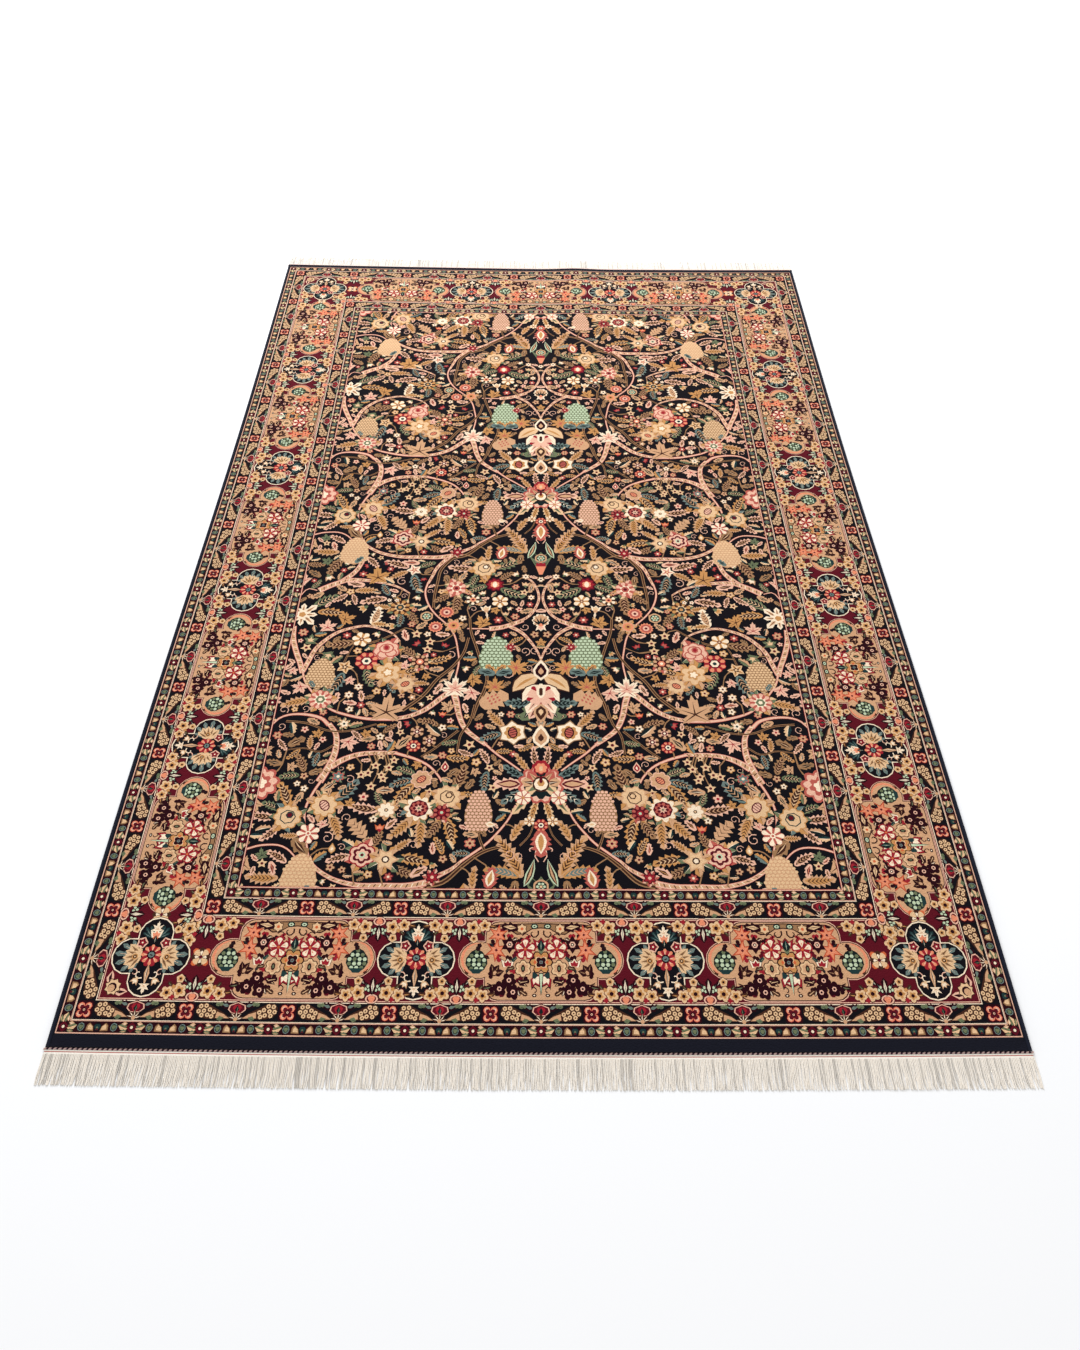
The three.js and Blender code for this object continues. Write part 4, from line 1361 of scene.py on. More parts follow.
# How far a motif fills its own reach, if not as far as a round flower
FOOTPRINTS = {
    "cone": 0.75, "maple": 0.7, "wing": 0.8, "oak": 0.7, "tulip": 0.7, "bud": 0.6, "palmette": 0.85,
    "starburst": 0.9,
}
ROUND_FOOTPRINT = 0.92
LEAFLESS = ("maple", "oak", "wing", "starburst", "palmette")
# Least reach in millimetres of a flower with a stem, with six leaves and with eight
STEM_LEAST, SIX_LEAVES_LEAST, EIGHT_LEAVES_LEAST = 9, 17, 24
# How near the axis a flower has no stem, in millimetres
STEMLESS = 30
# Where a flower's leaves root, as a share of its reach, and how unevenly they are spaced
LEAF_ROOT, LEAF_JITTER = 0.8, 0.3
SEED = 11
# The steps along a vine where it takes its ground, in millimetres
ROOM_STEP = 6


def field_repeat():
    """The stamps of one repeat: motif, place, size, turn and flip, the lowest first."""
    pick = random.Random(SEED)
    room = Room()
    lines = []
    for _, start, end, places in VINES:
        line = smooth([field_place(*place) for place in places], ROOM_STEP)
        lines.append((line, np.linspace(start, end, len(line))))
        for at, width in zip(*lines[-1]):
            room.take(at, width / 2)
    flowers = [(kind, field_place(out, up), size / 2, math.radians(turn))
        for kind, out, up, size, turn in FLOWERS]
    for kind, at, size, _ in flowers:
        room.take(at, size * FOOTPRINTS.get(kind.split("_")[0], ROUND_FOOTPRINT))
    stamps = []
    vine_places = np.concatenate([line for line, _ in lines])
    for _, at, size, _ in flowers:
        if size > STEM_LEAST and at.real < -STEMLESS:
            draw_stem(stamps, room, at, vine_places)
    for kind, at, size, turn in flowers:
        if size > SIX_LEAVES_LEAST and not kind.startswith(LEAFLESS):
            grow_sepals(stamps, room, pick, at, size, turn)
    for line, widths in lines:
        grow_vine_leaves(stamps, room, pick, line, widths)
    at, reach = room.widest()
    while reach >= LEAST_ROOM:
        fill_place(stamps, room, pick, at, reach)
        at, reach = room.widest()
    return stamps + [(KINDS[kind], at, size, turn, False) for kind, at, size, turn in flowers]


def grow_sepals(stamps, room, pick, at, size, turn):
    """Leaves all round a flower."""
    count = 8 if size > EIGHT_LEAVES_LEAST else 6
    for k in range(count):
        toward = turn + TAU * (k + LEAF_JITTER * pick.random()) / count
        grow_leaf(stamps, room, pick, at + LEAF_ROOT * size * unit(toward), toward)


def field_chart():
    chart = Chart()
    corner = -FIELD_HALF_WIDTH - OVERDRAW - 1j * (FIELD_HALF_LENGTH + OVERDRAW)
    chart.draw(np.array([corner, OVERDRAW + 1j * corner.imag, OVERDRAW - 1j * corner.imag,
        np.conj(corner)]), "night")
    rises = [k * REPEAT - FIELD_HALF_LENGTH for k in (-1, 0, 1, 2)]
    for rise in rises:
        for vine in VINES:
            draw_vine(chart, *vine, rise)
    for motif, at, size, turn, flip in field_repeat():
        for rise in rises:
            if abs(at.imag + rise) < FIELD_HALF_LENGTH + 2 * OVERDRAW:
                chart.stamp(motif, at + 1j * rise, size, turn, flip)
    return chart


# The carpet's real outline, in millimetres, as the CAD part has it

MM = 0.001
WIDTH = 1830
PIECE_GAP = 0.3
CORD_WIDTH, CORD_HEIGHT = 9, 8.2
ROW_WIDTH, ROW_HEIGHT = 4, 4.6
WEB_WIDTH, WEB_HEIGHT = 8, 2.6
FRINGE_LENGTH = 55
PILE_HALF_WIDTH = WIDTH / 2 - CORD_WIDTH - PIECE_GAP
CARPET_EDGE = WIDTH / 2 / PILE_HALF_WIDTH
SHOULDER_WIDTH, SHOULDER_DROP = 5, 2.5


# Half of how far the long sides draw in, in millimetres, where along the pile, and over how much of it
WAIST, WAIST_PLACE, WAIST_SPAN = 4.5, 0.3, 0.95
# How far the near end bows outwards and the far end inwards, and the far end's one soft wave
NEAR_BOW, FAR_BOW = 6, 11
WAVE_HEIGHT, WAVE_PLACE, WAVE_SPAN = 7, 0.137, 0.08


def place_on_carpet(across, along):
    """Real x and y of a place that runs from -1 to 1 over the pile's width and length."""
    waist = WAIST * (1 + np.cos(math.pi * (along - WAIST_PLACE) / WAIST_SPAN))
    on_pile = np.clip(across, -1, 1)
    near_end = NEAR_BOW * on_pile**2 - HALF_LENGTH
    wave = WAVE_HEIGHT * np.exp(-(((on_pile - WAVE_PLACE) / WAVE_SPAN) ** 2))
    far_end = HALF_LENGTH - FAR_BOW * (1 - on_pile**2) + wave
    reach = (along + 1) / 2
    return across * (PILE_HALF_WIDTH - waist), near_end * (1 - reach) + far_end * reach


# The pile's two low swells: their heights, the millimetres to a radian of each across and along, and where
# the first one starts
SWELL_HEIGHTS = (0.49, 0.21)
SWELL_LENGTHS = ((310, 270), (150, 190))
SWELL_STARTS = (0.8, -0.4)


def swell_at(x, y):
    """How far the pile's top rises or sinks at a real place."""
    (wide, long), (short_wide, short_long) = SWELL_LENGTHS
    slow = np.sin(x / wide + SWELL_STARTS[0]) * np.sin(y / long + SWELL_STARTS[1])
    return SWELL_HEIGHTS[0] * slow + SWELL_HEIGHTS[1] * np.sin(x / short_wide - y / short_long)


CENTRE = np.mean(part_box("pile"), axis=0)


def on_floor(x, y, z):
    """Points in metres in the frame, from real millimetres."""
    x, y, z = np.broadcast_arrays(x, y, z)
    return np.stack([x * MM + CENTRE[0], y * MM + CENTRE[1], z * MM], axis=-1)


# The near border was woven longer than charted and the far border shorter
NEAR_BORDER, FAR_BORDER = 326, 303
CHARTED_ROWS = (-HALF_LENGTH, -FIELD_HALF_LENGTH, FIELD_HALF_LENGTH, HALF_LENGTH)
WOVEN_ROWS = (-HALF_LENGTH, -HALF_LENGTH + NEAR_BORDER, HALF_LENGTH - FAR_BORDER, HALF_LENGTH)


def pile_surface(plan, height):
    """The top of the pile over places of the charted plan."""
    across = plan.real / PILE_HALF_WIDTH
    along = np.interp(plan.imag, CHARTED_ROWS, WOVEN_ROWS) / HALF_LENGTH
    x, y = place_on_carpet(across, along)
    to_rim = np.minimum((1 - np.abs(across)) * PILE_HALF_WIDTH, (1 - np.abs(along)) * HALF_LENGTH)
    inside = np.clip(1 - to_rim / SHOULDER_WIDTH, 0, 1)
    round_off = SHOULDER_DROP * (1 - np.sqrt(1 - inside**2))
    return on_floor(x, y, height + swell_at(x, y) - round_off)


# Cutting the chart into painted triangles

# The longest edge along a seam, and how near two corners of the chart may lie, in millimetres
SEAM_STEP = 20
CLEAR = 1e-4
# Where along an edge it is tested, beside its start
EDGE_TESTS = (0.25, 0.5, 0.75, 1.0)


def is_inside(outline, places):
    """Which places lie within a closed outline."""
    inside = np.zeros(len(places), bool)
    for a, b in zip(outline, np.roll(outline, -1)):
        if a.imag != b.imag:
            spans = (a.imag > places.imag) != (b.imag > places.imag)
            crossing = a.real + (places.imag - a.imag) * (b.real - a.real) / (b.imag - a.imag)
            inside ^= spans & (places.real < crossing)
    return inside


def places_within(outlines, places):
    """Goes through the outlines, each with the numbers of the places within its bounding box."""
    order = np.argsort(places.real)
    columns = places.real[order]
    for k, outline in enumerate(outlines):
        first, last = np.searchsorted(columns, [outline.real.min(), outline.real.max()])
        near = order[first:last]
        rows = places.imag[near]
        yield k, outline, near[(rows > outline.imag.min()) & (rows < outline.imag.max())]


def top_dyes(chart, middles):
    """The dye that shows at each place, from the outlines in their drawing order."""
    dyes = np.zeros((len(middles), 3))
    for k, outline, near in places_within(chart.outlines, middles):
        dyes[near[is_inside(outline, middles[near])]] = PAINTS[chart.paints[k]]
    return dyes / 255


def hidden_edges(outlines, starts, ends, owners):
    """Which edges lie wholly under a later outline, and so part nothing that shows."""
    hidden = np.zeros(len(starts), bool)
    for k, outline, near in places_within(outlines, starts):
        near = near[(owners[near] < k) & ~hidden[near]]
        near = near[is_inside(outline, starts[near])]
        for share in EDGE_TESTS:
            near = near[is_inside(outline, starts[near] * (1 - share) + ends[near] * share)]
        hidden[near] = True
    return hidden


def region_edges(chart, low, high):
    """The corners and edges that the chart's outlines need in a rectangle, with the rectangle's own."""
    region = np.array([low, high.real + 1j * low.imag, high, low.real + 1j * high.imag])
    outlines = [stepped(region, SEAM_STEP)]
    for outline in chart.outlines:
        beside = outline.real.max() < low.real or outline.real.min() > high.real
        beyond = outline.imag.max() < low.imag or outline.imag.min() > high.imag
        if not (beside or beyond):
            outlines.append(outline)
    counts = [len(outline) for outline in outlines]
    firsts = np.cumsum([0] + counts)
    after = np.concatenate([first + np.roll(np.arange(count), -1) for first, count in zip(firsts, counts)])
    starts = np.concatenate(outlines)
    owners = np.repeat(np.arange(len(outlines)), counts)
    owners[: counts[0]] = len(outlines)
    showing = ~hidden_edges(outlines, starts, starts[after], owners)
    edges = np.stack([np.arange(len(starts)), after], axis=1)[showing]
    used, edges = np.unique(edges, return_inverse=True)
    return starts[used], edges.reshape(-1, 2)


def in_rectangle(places, low, high):
    beside = (places.real > low.real) & (places.real < high.real)
    return beside & (places.imag > low.imag) & (places.imag < high.imag)


def cut_plan(chart, low, high):
    """Cuts a rectangle of the chart into painted triangles that share their corners."""
    starts, edges = region_edges(chart, low, high)
    corners = [Vector((z.real, z.imag)) for z in starts]
    places, _, faces, _, _, _ = delaunay_2d_cdt(corners, edges.tolist(), [], 0, CLEAR, False)
    plan = np.array([complex(*place) for place in places])
    triangles = np.array(faces)
    middles = plan[triangles].mean(axis=1)
    kept = in_rectangle(middles, low, high)
    used, flat = np.unique(triangles[kept], return_inverse=True)
    return plan[used], flat.reshape(-1, 3), top_dyes(chart, middles[kept])


# Meshes


def keep(name, mesh):
    piece = bpy.data.objects.new(name, mesh)
    bpy.context.scene.collection.objects.link(piece)
    return piece


def painted_mesh(name, points, faces, dyes, material):
    """A mesh with a dye of its own for each face."""
    mesh = bpy.data.meshes.new(name)
    mesh.from_pydata(points, [], faces)
    sizes = [len(face) for face in faces]
    colours = np.ones((sum(sizes), 4))
    colours[:, :3] = np.repeat(dyes, sizes, axis=0)
    layer = mesh.color_attributes.new(name="dye", type="BYTE_COLOR", domain="CORNER")
    layer.data.foreach_set("color_srgb", colours.ravel())
    mesh.materials.append(material)
    return mesh


def rim_of(triangles):
    """The loop of corners round the triangles, anticlockwise."""
    edges = np.concatenate([triangles[:, [0, 1]], triangles[:, [1, 2]], triangles[:, [2, 0]]])
    forward = {(a, b) for a, b in edges.tolist()}
    after = {a: b for a, b in forward if (b, a) not in forward}
    loop = [min(after)]
    while after[loop[-1]] != loop[0]:
        loop.append(after[loop[-1]])
    return np.array(loop)


def slab(name, plan, triangles, dyes, height, material):
    """A closed slab of pile over the cut plan, with dark walls and foot."""
    rim = rim_of(triangles)
    top = pile_surface(plan, height)
    low = np.arange(len(rim)) + len(top)
    walls = np.stack([np.roll(rim, -1), rim, low, np.roll(low, -1)], axis=1)
    faces = [*triangles.tolist(), *walls.tolist(), low[::-1].tolist()]
    dark = np.tile(np.array(PAINTS["ink"]) / 255, (len(rim) + 1, 1))
    points = np.concatenate([top, top[rim] * (1, 1, 0)])
    mesh = painted_mesh(name, points, faces, np.concatenate([dyes, dark]), material)
    mesh.polygons.foreach_set("use_smooth", np.arange(len(faces)) < len(triangles))
    ends = np.zeros(2 * len(mesh.edges), int)
    mesh.edges.foreach_get("vertices", ends)
    sharp = np.isin(ends, rim).reshape(-1, 2).all(axis=1)
    mesh.attributes.new("sharp_edge", "BOOLEAN", "EDGE").data.foreach_set("value", sharp)
    return keep(name, mesh)


# Node trees


def new_tree(name, kind, inputs, outputs):
    """A node tree with named inputs, each with a socket type and a default, and named outputs."""
    tree = bpy.data.node_groups.new(name, kind)
    for label, socket_type, default in inputs:
        socket = tree.interface.new_socket(label, in_out="INPUT", socket_type=socket_type)
        if default is not None:
            socket.default_value = default
    for label, socket_type in outputs:
        tree.interface.new_socket(label, in_out="OUTPUT", socket_type=socket_type)
    return tree, tree.nodes.new("NodeGroupInput").outputs, tree.nodes.new("NodeGroupOutput")


def set_inputs(tree, node, values):
    """Sets a node's inputs to numbers, or links them to other nodes' outputs."""
    for name, value in values.items():
        if isinstance(value, bpy.types.NodeSocket):
            tree.links.new(value, node.inputs[name])
        else:
            node.inputs[name].default_value = value


def add_node(tree, kind, values=None, **settings):
    node = tree.nodes.new(kind)
    for name, value in settings.items():
        setattr(node, name, value)
    set_inputs(tree, node, values or {})
    return node


def add_math(tree, operation, *values):
    return add_node(tree, "ShaderNodeMath", dict(enumerate(values)), operation=operation).outputs[0]


def add_vector(tree, **axes):
    return add_node(tree, "ShaderNodeCombineXYZ", axes).outputs[0]


def add_noise(tree, where, scale, detail):
    return add_node(tree, "ShaderNodeTexNoise", {"Vector": where, "Scale": scale,
        "Detail": detail}).outputs["Fac"]


FLOAT, WHOLE, COLOUR, SOLID = "NodeSocketFloat", "NodeSocketInt", "NodeSocketColor", "NodeSocketGeometry"
SHADE = "Yarn shade"
SHADE_INPUTS = [("Dye", COLOUR, (0.5, 0.5, 0.5, 1)), ("Knot Pitch", FLOAT, 0.002),
    ("Knot Amount", FLOAT, 0.2), ("Band Amount", FLOAT, 0.1)]
# The slow bands of dye run across the carpet: their scale along x, y and z
BAND_SCALE = (0.6, 14, 1)
SPECULAR, SHEEN_ROUGHNESS, SHEEN_TINT = 0.02, 0.45, (1, 0.86, 0.76, 1)


def yarn_shade():
    """A node group that varies a dye from knot to knot and in slow bands, with the height of the tufts."""
    tree, inputs, outputs = new_tree(SHADE, "ShaderNodeTree", SHADE_INPUTS,
        [("Color", COLOUR), ("Height", FLOAT)])
    where = add_node(tree, "ShaderNodeTexCoord").outputs["Object"]
    knots = add_noise(tree, where, add_math(tree, "DIVIDE", 1.0, inputs["Knot Pitch"]), detail=1.0)
    stretched = add_node(tree, "ShaderNodeVectorMath", {0: where, 1: BAND_SCALE},
        operation="MULTIPLY").outputs[0]
    bands = add_noise(tree, stretched, scale=1.0, detail=3.0)
    shade = 1.0
    for noise, amount in ((knots, "Knot Amount"), (bands, "Band Amount")):
        centred = add_math(tree, "SUBTRACT", noise, 0.5)
        shade = add_math(tree, "MULTIPLY_ADD", centred, inputs[amount], shade)
    dyed = add_node(tree, "ShaderNodeVectorMath", {0: inputs["Dye"], "Scale": shade}, operation="SCALE")
    set_inputs(tree, outputs, {"Color": dyed.outputs[0], "Height": knots})
    return tree


# Strands with a stray value above the first number get painted shade, darker by the second share, which
# stands in for the shadow in the grooves between strands
GROOVE_FROM, GROOVE_SHADE = 0.84, 0.26


def painted_groove_shade(tree, colour):
    """A colour with painted shade on some of the strands, standing in for the shadow in the grooves between
    them.
    """
    stray = add_node(tree, "ShaderNodeAttribute", attribute_name="stray").outputs["Fac"]
    shade = add_math(tree, "MULTIPLY_ADD", add_math(tree, "GREATER_THAN", stray, GROOVE_FROM),
        -GROOVE_SHADE, 1.0)
    return add_node(tree, "ShaderNodeVectorMath", {0: colour, "Scale": shade}, operation="SCALE").outputs[0]


def yarn_material(name, knot_pitch, knot_amount, bump, roughness=0.95, sheen=0.1, band_amount=0.1,
        colour=None, painted_grooves=False):
    """A wool or cotton finish. Its dye is the mesh's own unless a colour is given. With painted grooves, some
    strands get painted shade for the shadow between them.
    """
    material = bpy.data.materials.new(name)
    material.use_nodes = True
    tree = material.node_tree
    # Painted shade on some strands, for the shadow in the grooves between fringe strands
    if painted_grooves:
        dye = painted_groove_shade(tree, colour)
    elif colour:
        dye = (*colour, 1)
    else:
        dye = add_node(tree, "ShaderNodeVertexColor", layer_name="dye").outputs["Color"]
    values = {"Dye": dye, "Knot Pitch": knot_pitch, "Knot Amount": knot_amount, "Band Amount": band_amount}
    group = bpy.data.node_groups.get(SHADE) or yarn_shade()
    shade = add_node(tree, "ShaderNodeGroup", values, node_tree=group).outputs
    relief = add_node(tree, "ShaderNodeBump", {"Distance": bump, "Height": shade["Height"]})
    set_inputs(tree, tree.nodes["Principled BSDF"], {
        "Base Color": shade["Color"], "Normal": relief.outputs["Normal"], "Roughness": roughness,
        "Specular IOR Level": SPECULAR, "Sheen Weight": sheen, "Sheen Roughness": SHEEN_ROUGHNESS,
        "Sheen Tint": SHEEN_TINT})
    return material


# Geometry Nodes


def geometry_tree(name, sizes):
    """A Geometry Nodes tree whose line of points is turned into a curve."""
    sockets = [("Geometry", SOLID, None), *sizes]
    tree, inputs, outputs = new_tree(name, "GeometryNodeTree", sockets, [("Geometry", SOLID)])
    curve = add_node(tree, "GeometryNodeMeshToCurve", {"Mesh": inputs["Geometry"]}).outputs[0]
    return tree, inputs, outputs, curve


def made_real(tree, geometry, material):
    real = add_node(tree, "GeometryNodeRealizeInstances", {"Geometry": geometry}).outputs[0]
    return add_node(tree, "GeometryNodeSetMaterial", {"Geometry": real, "Material": material}).outputs[0]


def index_modulo(tree, count):
    return add_math(tree, "MODULO", add_node(tree, "GeometryNodeInputIndex").outputs[0], count)


def grown(name, points, tree, values):
    """A plain mesh grown by a tree along a line of points."""
    line = bpy.data.meshes.new(name + "_line")
    line.from_pydata(points, [(k, k + 1) for k in range(len(points) - 1)], [])
    carrier = keep(name + "_line", line)
    modifier = carrier.modifiers.new("Grow", "NODES")
    modifier.node_group = tree
    for item in tree.interface.items_tree:
        if item.name in values:
            modifier[item.identifier] = values[item.name]
    graph = bpy.context.evaluated_depsgraph_get()
    mesh = bpy.data.meshes.new_from_object(carrier.evaluated_get(graph))
    mesh.name = name
    mesh.shade_smooth()
    bpy.data.objects.remove(carrier)
    return keep(name, mesh)


CORD_SIZES = [("Width", FLOAT, 0.009), ("Height", FLOAT, 0.008), ("Turn Pitch", FLOAT, 0.003),
    ("Ridge", FLOAT, 0.08)]


def wrapped_cord_tree(material):
    """A cord with a ridge for each turn of its wrapping yarn."""
    tree, inputs, outputs, curve = geometry_tree("Wrapped cord", CORD_SIZES)
    step = add_math(tree, "MULTIPLY", inputs["Turn Pitch"], 0.5)
    even = add_node(tree, "GeometryNodeResampleCurve", {"Curve": curve, "Length": step}, mode="LENGTH")
    groove = add_math(tree, "MULTIPLY", index_modulo(tree, 2.0), inputs["Ridge"])
    level = add_node(tree, "GeometryNodeSetCurveNormal", {"Curve": even.outputs[0]}, mode="Z_UP")
    ring = add_node(tree, "GeometryNodeCurvePrimitiveCircle", {"Resolution": 8, "Radius": 0.5})
    size = add_vector(tree, X=inputs["Width"], Y=inputs["Height"], Z=1.0)
    section = add_node(tree, "GeometryNodeTransform", {"Geometry": ring.outputs[0], "Scale": size})
    cord = add_node(tree, "GeometryNodeCurveToMesh", {
        "Curve": level.outputs[0], "Profile Curve": section.outputs[0],
        "Scale": add_math(tree, "SUBTRACT", 1.0, groove), "Fill Caps": True})
    set_inputs(tree, outputs, {0: made_real(tree, cord.outputs[0], material)})
    return tree


ROW_SIZES = [("Width", FLOAT, 0.004), ("Height", FLOAT, 0.0046), ("Stitch Pitch", FLOAT, 0.005),
    ("Slant", FLOAT, 0.5)]
# A light and a dark stitch's length, in pitches
STITCH_LENGTHS = (1.9, 1.2)


def twined_row_tree(materials):
    """A row of slanting stitches in two yarns."""
    tree, inputs, outputs, curve = geometry_tree("Twined row", ROW_SIZES)
    points = add_node(tree, "GeometryNodeCurveToPoints", {"Curve": curve, "Length": inputs["Stitch Pitch"]},
        mode="LENGTH")
    stitch = add_node(tree, "GeometryNodeMeshUVSphere", {"Segments": 6, "Rings": 4, "Radius": 0.5})
    parity = index_modulo(tree, 2.0)
    turn = add_vector(tree, Z=inputs["Slant"])
    joined = add_node(tree, "GeometryNodeJoinGeometry")
    for choice, (material, share) in enumerate(zip(materials, STITCH_LENGTHS)):
        length = add_math(tree, "MULTIPLY", inputs["Stitch Pitch"], share)
        size = add_vector(tree, X=length, Y=inputs["Width"], Z=inputs["Height"])
        row = add_node(tree, "GeometryNodeInstanceOnPoints", {
            "Points": points.outputs[0], "Selection": add_math(tree, "COMPARE", parity, float(choice), 0.1),
            "Instance": stitch.outputs[0], "Rotation": turn, "Scale": size})
        set_inputs(tree, joined, {0: made_real(tree, row.outputs[0], material)})
    set_inputs(tree, outputs, {0: joined.outputs[0]})
    return tree


FRINGE_SIZES = [
    ("Strands", WHOLE, 640), ("Length", FLOAT, 0.055), ("Thickness", FLOAT, 0.003), ("Lean", FLOAT, 0.07),
    ("Wave", FLOAT, 0.0011), ("Turn", FLOAT, 0.0), ("Seed", WHOLE, 7),
]
STRAND_POINTS = 6
# How quickly the lean changes along the fringe, as noise per metre, and what a strand adds of its own
LEAN_SCALE, LEAN_SPREAD = 9.0, 0.3
# The shortest strand's share of the length, the change of width to its tip, and how far it sinks
SHORTEST_STRAND, STRAND_TAPER, STRAND_DROP = 0.965, -0.15, -0.0012
# How fast the sideways wave runs along the straightest strand, and how much faster along the most stray
SWAY_RATE, SWAY_RATE_RISE = 4.0, 5.0


def swayed(tree, strands, height):
    """Strands that wave to the sides and drop to the floor, with the place along each."""
    factor = add_node(tree, "GeometryNodeSplineParameter").outputs["Factor"]
    stray = add_node(tree, "GeometryNodeInputNamedAttribute", {"Name": "stray"},
        data_type="FLOAT").outputs["Attribute"]
    phase = add_math(tree, "MULTIPLY", stray, TAU)
    rate = add_math(tree, "MULTIPLY_ADD", stray, SWAY_RATE_RISE, SWAY_RATE)
    wave = add_math(tree, "SINE", add_math(tree, "MULTIPLY_ADD", factor, rate, phase))
    sway = add_math(tree, "MULTIPLY", add_math(tree, "MULTIPLY", wave, height), factor)
    drop = add_math(tree, "MULTIPLY", add_math(tree, "POWER", factor, 0.5), STRAND_DROP)
    moved = add_node(tree, "GeometryNodeSetPosition",
        {"Geometry": strands, "Offset": add_vector(tree, X=sway, Z=drop)})
    return moved.outputs[0], factor


def fringe_tree(material):
    """Loose warp ends that lie on the floor, each a little wavy. Each has a stray value of its own."""
    tree, inputs, outputs, curve = geometry_tree("Fringe", FRINGE_SIZES)

    def random_value(low, high, offset):
        seed = add_math(tree, "ADD", inputs["Seed"], float(offset))
        node = add_node(tree, "FunctionNodeRandomValue", {"Seed": seed, 2: low, 3: high}, data_type="FLOAT")
        return node.outputs[1]

    roots = add_node(tree, "GeometryNodeCurveToPoints",
        {"Curve": curve, "Count": inputs["Strands"]}, mode="COUNT")
    strays = add_node(tree, "GeometryNodeStoreNamedAttribute", {
        "Geometry": roots.outputs[0], "Name": "stray", "Value": random_value(0.0, 1.0, 1)},
        data_type="FLOAT", domain="POINT")
    line = add_node(tree, "GeometryNodeCurvePrimitiveLine", {"End": (0.0, 1.0, 0.0)})
    steps = add_node(tree, "GeometryNodeResampleCurve",
        {"Curve": line.outputs[0], "Count": STRAND_POINTS}, mode="COUNT")
    drift = add_noise(tree, add_node(tree, "GeometryNodeInputPosition").outputs[0], LEAN_SCALE, detail=2.0)
    aside = add_math(tree, "ADD", add_math(tree, "SUBTRACT", drift, 0.5),
        random_value(-LEAN_SPREAD, LEAN_SPREAD, 2))
    turn = add_vector(tree, Z=add_math(tree, "MULTIPLY_ADD", aside, inputs["Lean"], inputs["Turn"]))
    length = add_math(tree, "MULTIPLY", inputs["Length"], random_value(SHORTEST_STRAND, 1.0, 3))
    size = add_vector(tree, X=1.0, Y=length, Z=1.0)
    strands = add_node(tree, "GeometryNodeInstanceOnPoints", {
        "Points": strays.outputs[0], "Instance": steps.outputs[0], "Rotation": turn, "Scale": size})
    real = add_node(tree, "GeometryNodeRealizeInstances", {"Geometry": strands.outputs[0]})
    moved, factor = swayed(tree, real.outputs[0], inputs["Wave"])
    taper = add_math(tree, "MULTIPLY_ADD", factor, STRAND_TAPER, 1.0)
    radius = add_math(tree, "MULTIPLY", taper, add_math(tree, "MULTIPLY", inputs["Thickness"], 0.5))
    ring = add_node(tree, "GeometryNodeCurvePrimitiveCircle", {"Resolution": 4, "Radius": 1.0})
    yarn = add_node(tree, "GeometryNodeCurveToMesh", {
        "Curve": moved, "Profile Curve": ring.outputs[0], "Scale": radius, "Fill Caps": True})
    set_inputs(tree, outputs, {0: made_real(tree, yarn.outputs[0], material)})
    return tree


# The carpet's edges

# How many places along each edge piece are worked out
STATION_COUNT = 90


def beside_pile(side, offset, height):
    along = np.linspace(-1, 1, STATION_COUNT)
    x, y = place_on_carpet(np.full(STATION_COUNT, float(side)), along)
    return on_floor(x + side * offset, y, height)


def beyond_pile(end, offset, height):
    across = np.linspace(-CARPET_EDGE, CARPET_EDGE, STATION_COUNT)
    x, y = place_on_carpet(across, np.full(STATION_COUNT, float(end)))
    return on_floor(x, y + end * offset, height)


WEB_START = 2 * PIECE_GAP + ROW_WIDTH
# The stitched line's two edges on the web, and where the web's top starts to fall and how high it ends
STITCH_FROM, STITCH_TO = 2.6, 4.2
FALL_FROM, FALL_TO = 7.2, 2.1
# The web's section from the twined row outwards: offset, height and the paint of the face that follows
WEB_SECTION = [
    (0, 0, "cotton"), (0, WEB_HEIGHT, "cotton"), (STITCH_FROM, WEB_HEIGHT, "rose"),
    (STITCH_TO, WEB_HEIGHT, "cotton"), (FALL_FROM, WEB_HEIGHT, "cotton"), (WEB_WIDTH, FALL_TO, "cotton"),
    (WEB_WIDTH, 0, "cotton"),
]
# Where the warp ends leave the web: how far inside its edge, and how high
STRAND_INSET, STRAND_ROOT = 1, 2.2


def web(name, end, material):
    """The flat-woven strip between the twined row and the fringe, with its stitched line."""
    points = np.stack([beyond_pile(end, WEB_START + offset, height)
        for offset, height, _ in WEB_SECTION], axis=1)
    index = np.arange(points.size // 3).reshape(STATION_COUNT, -1)
    after = np.roll(index, -1, axis=1)
    quads = np.stack([index[:-1], after[:-1], after[1:], index[1:]], axis=2).reshape(-1, 4)
    faces = [index[0][::-1].tolist(), index[-1].tolist(), *quads.tolist()]
    if end < 0:
        faces = [face[::-1] for face in faces]
    paints = ["cotton", "cotton"] + [paint for _, _, paint in WEB_SECTION] * (STATION_COUNT - 1)
    dyes = np.array([PAINTS[paint] for paint in paints]) / 255
    return keep(name, painted_mesh(name, points.reshape(-1, 3), faces, dyes, material))


# What a user sets


class CarpetSizes(bpy.types.PropertyGroup):
    pile_height: bpy.props.FloatProperty(
        name="Pile height", description="Foundation and pile together", default=9 * MM, unit="LENGTH")
    knot_pitch: bpy.props.FloatProperty(
        name="Knot pitch", description="From one knot to the next", default=2.4 * MM, unit="LENGTH")
    turn_pitch: bpy.props.FloatProperty(
        name="Turn pitch", description="From one turn of the side cords' yarn to the next",
        default=3.6 * MM, unit="LENGTH")
    stitch_pitch: bpy.props.FloatProperty(
        name="Stitch pitch", description="From one twined stitch to the next", default=4.6 * MM,
        unit="LENGTH")
    strand_count: bpy.props.IntProperty(
        name="Strands", description="Loose warp ends along each end of the carpet", default=640)
    strand_thickness: bpy.props.FloatProperty(
        name="Strand thickness", description="Thickness of a loose warp end", default=2.9 * MM, unit="LENGTH")


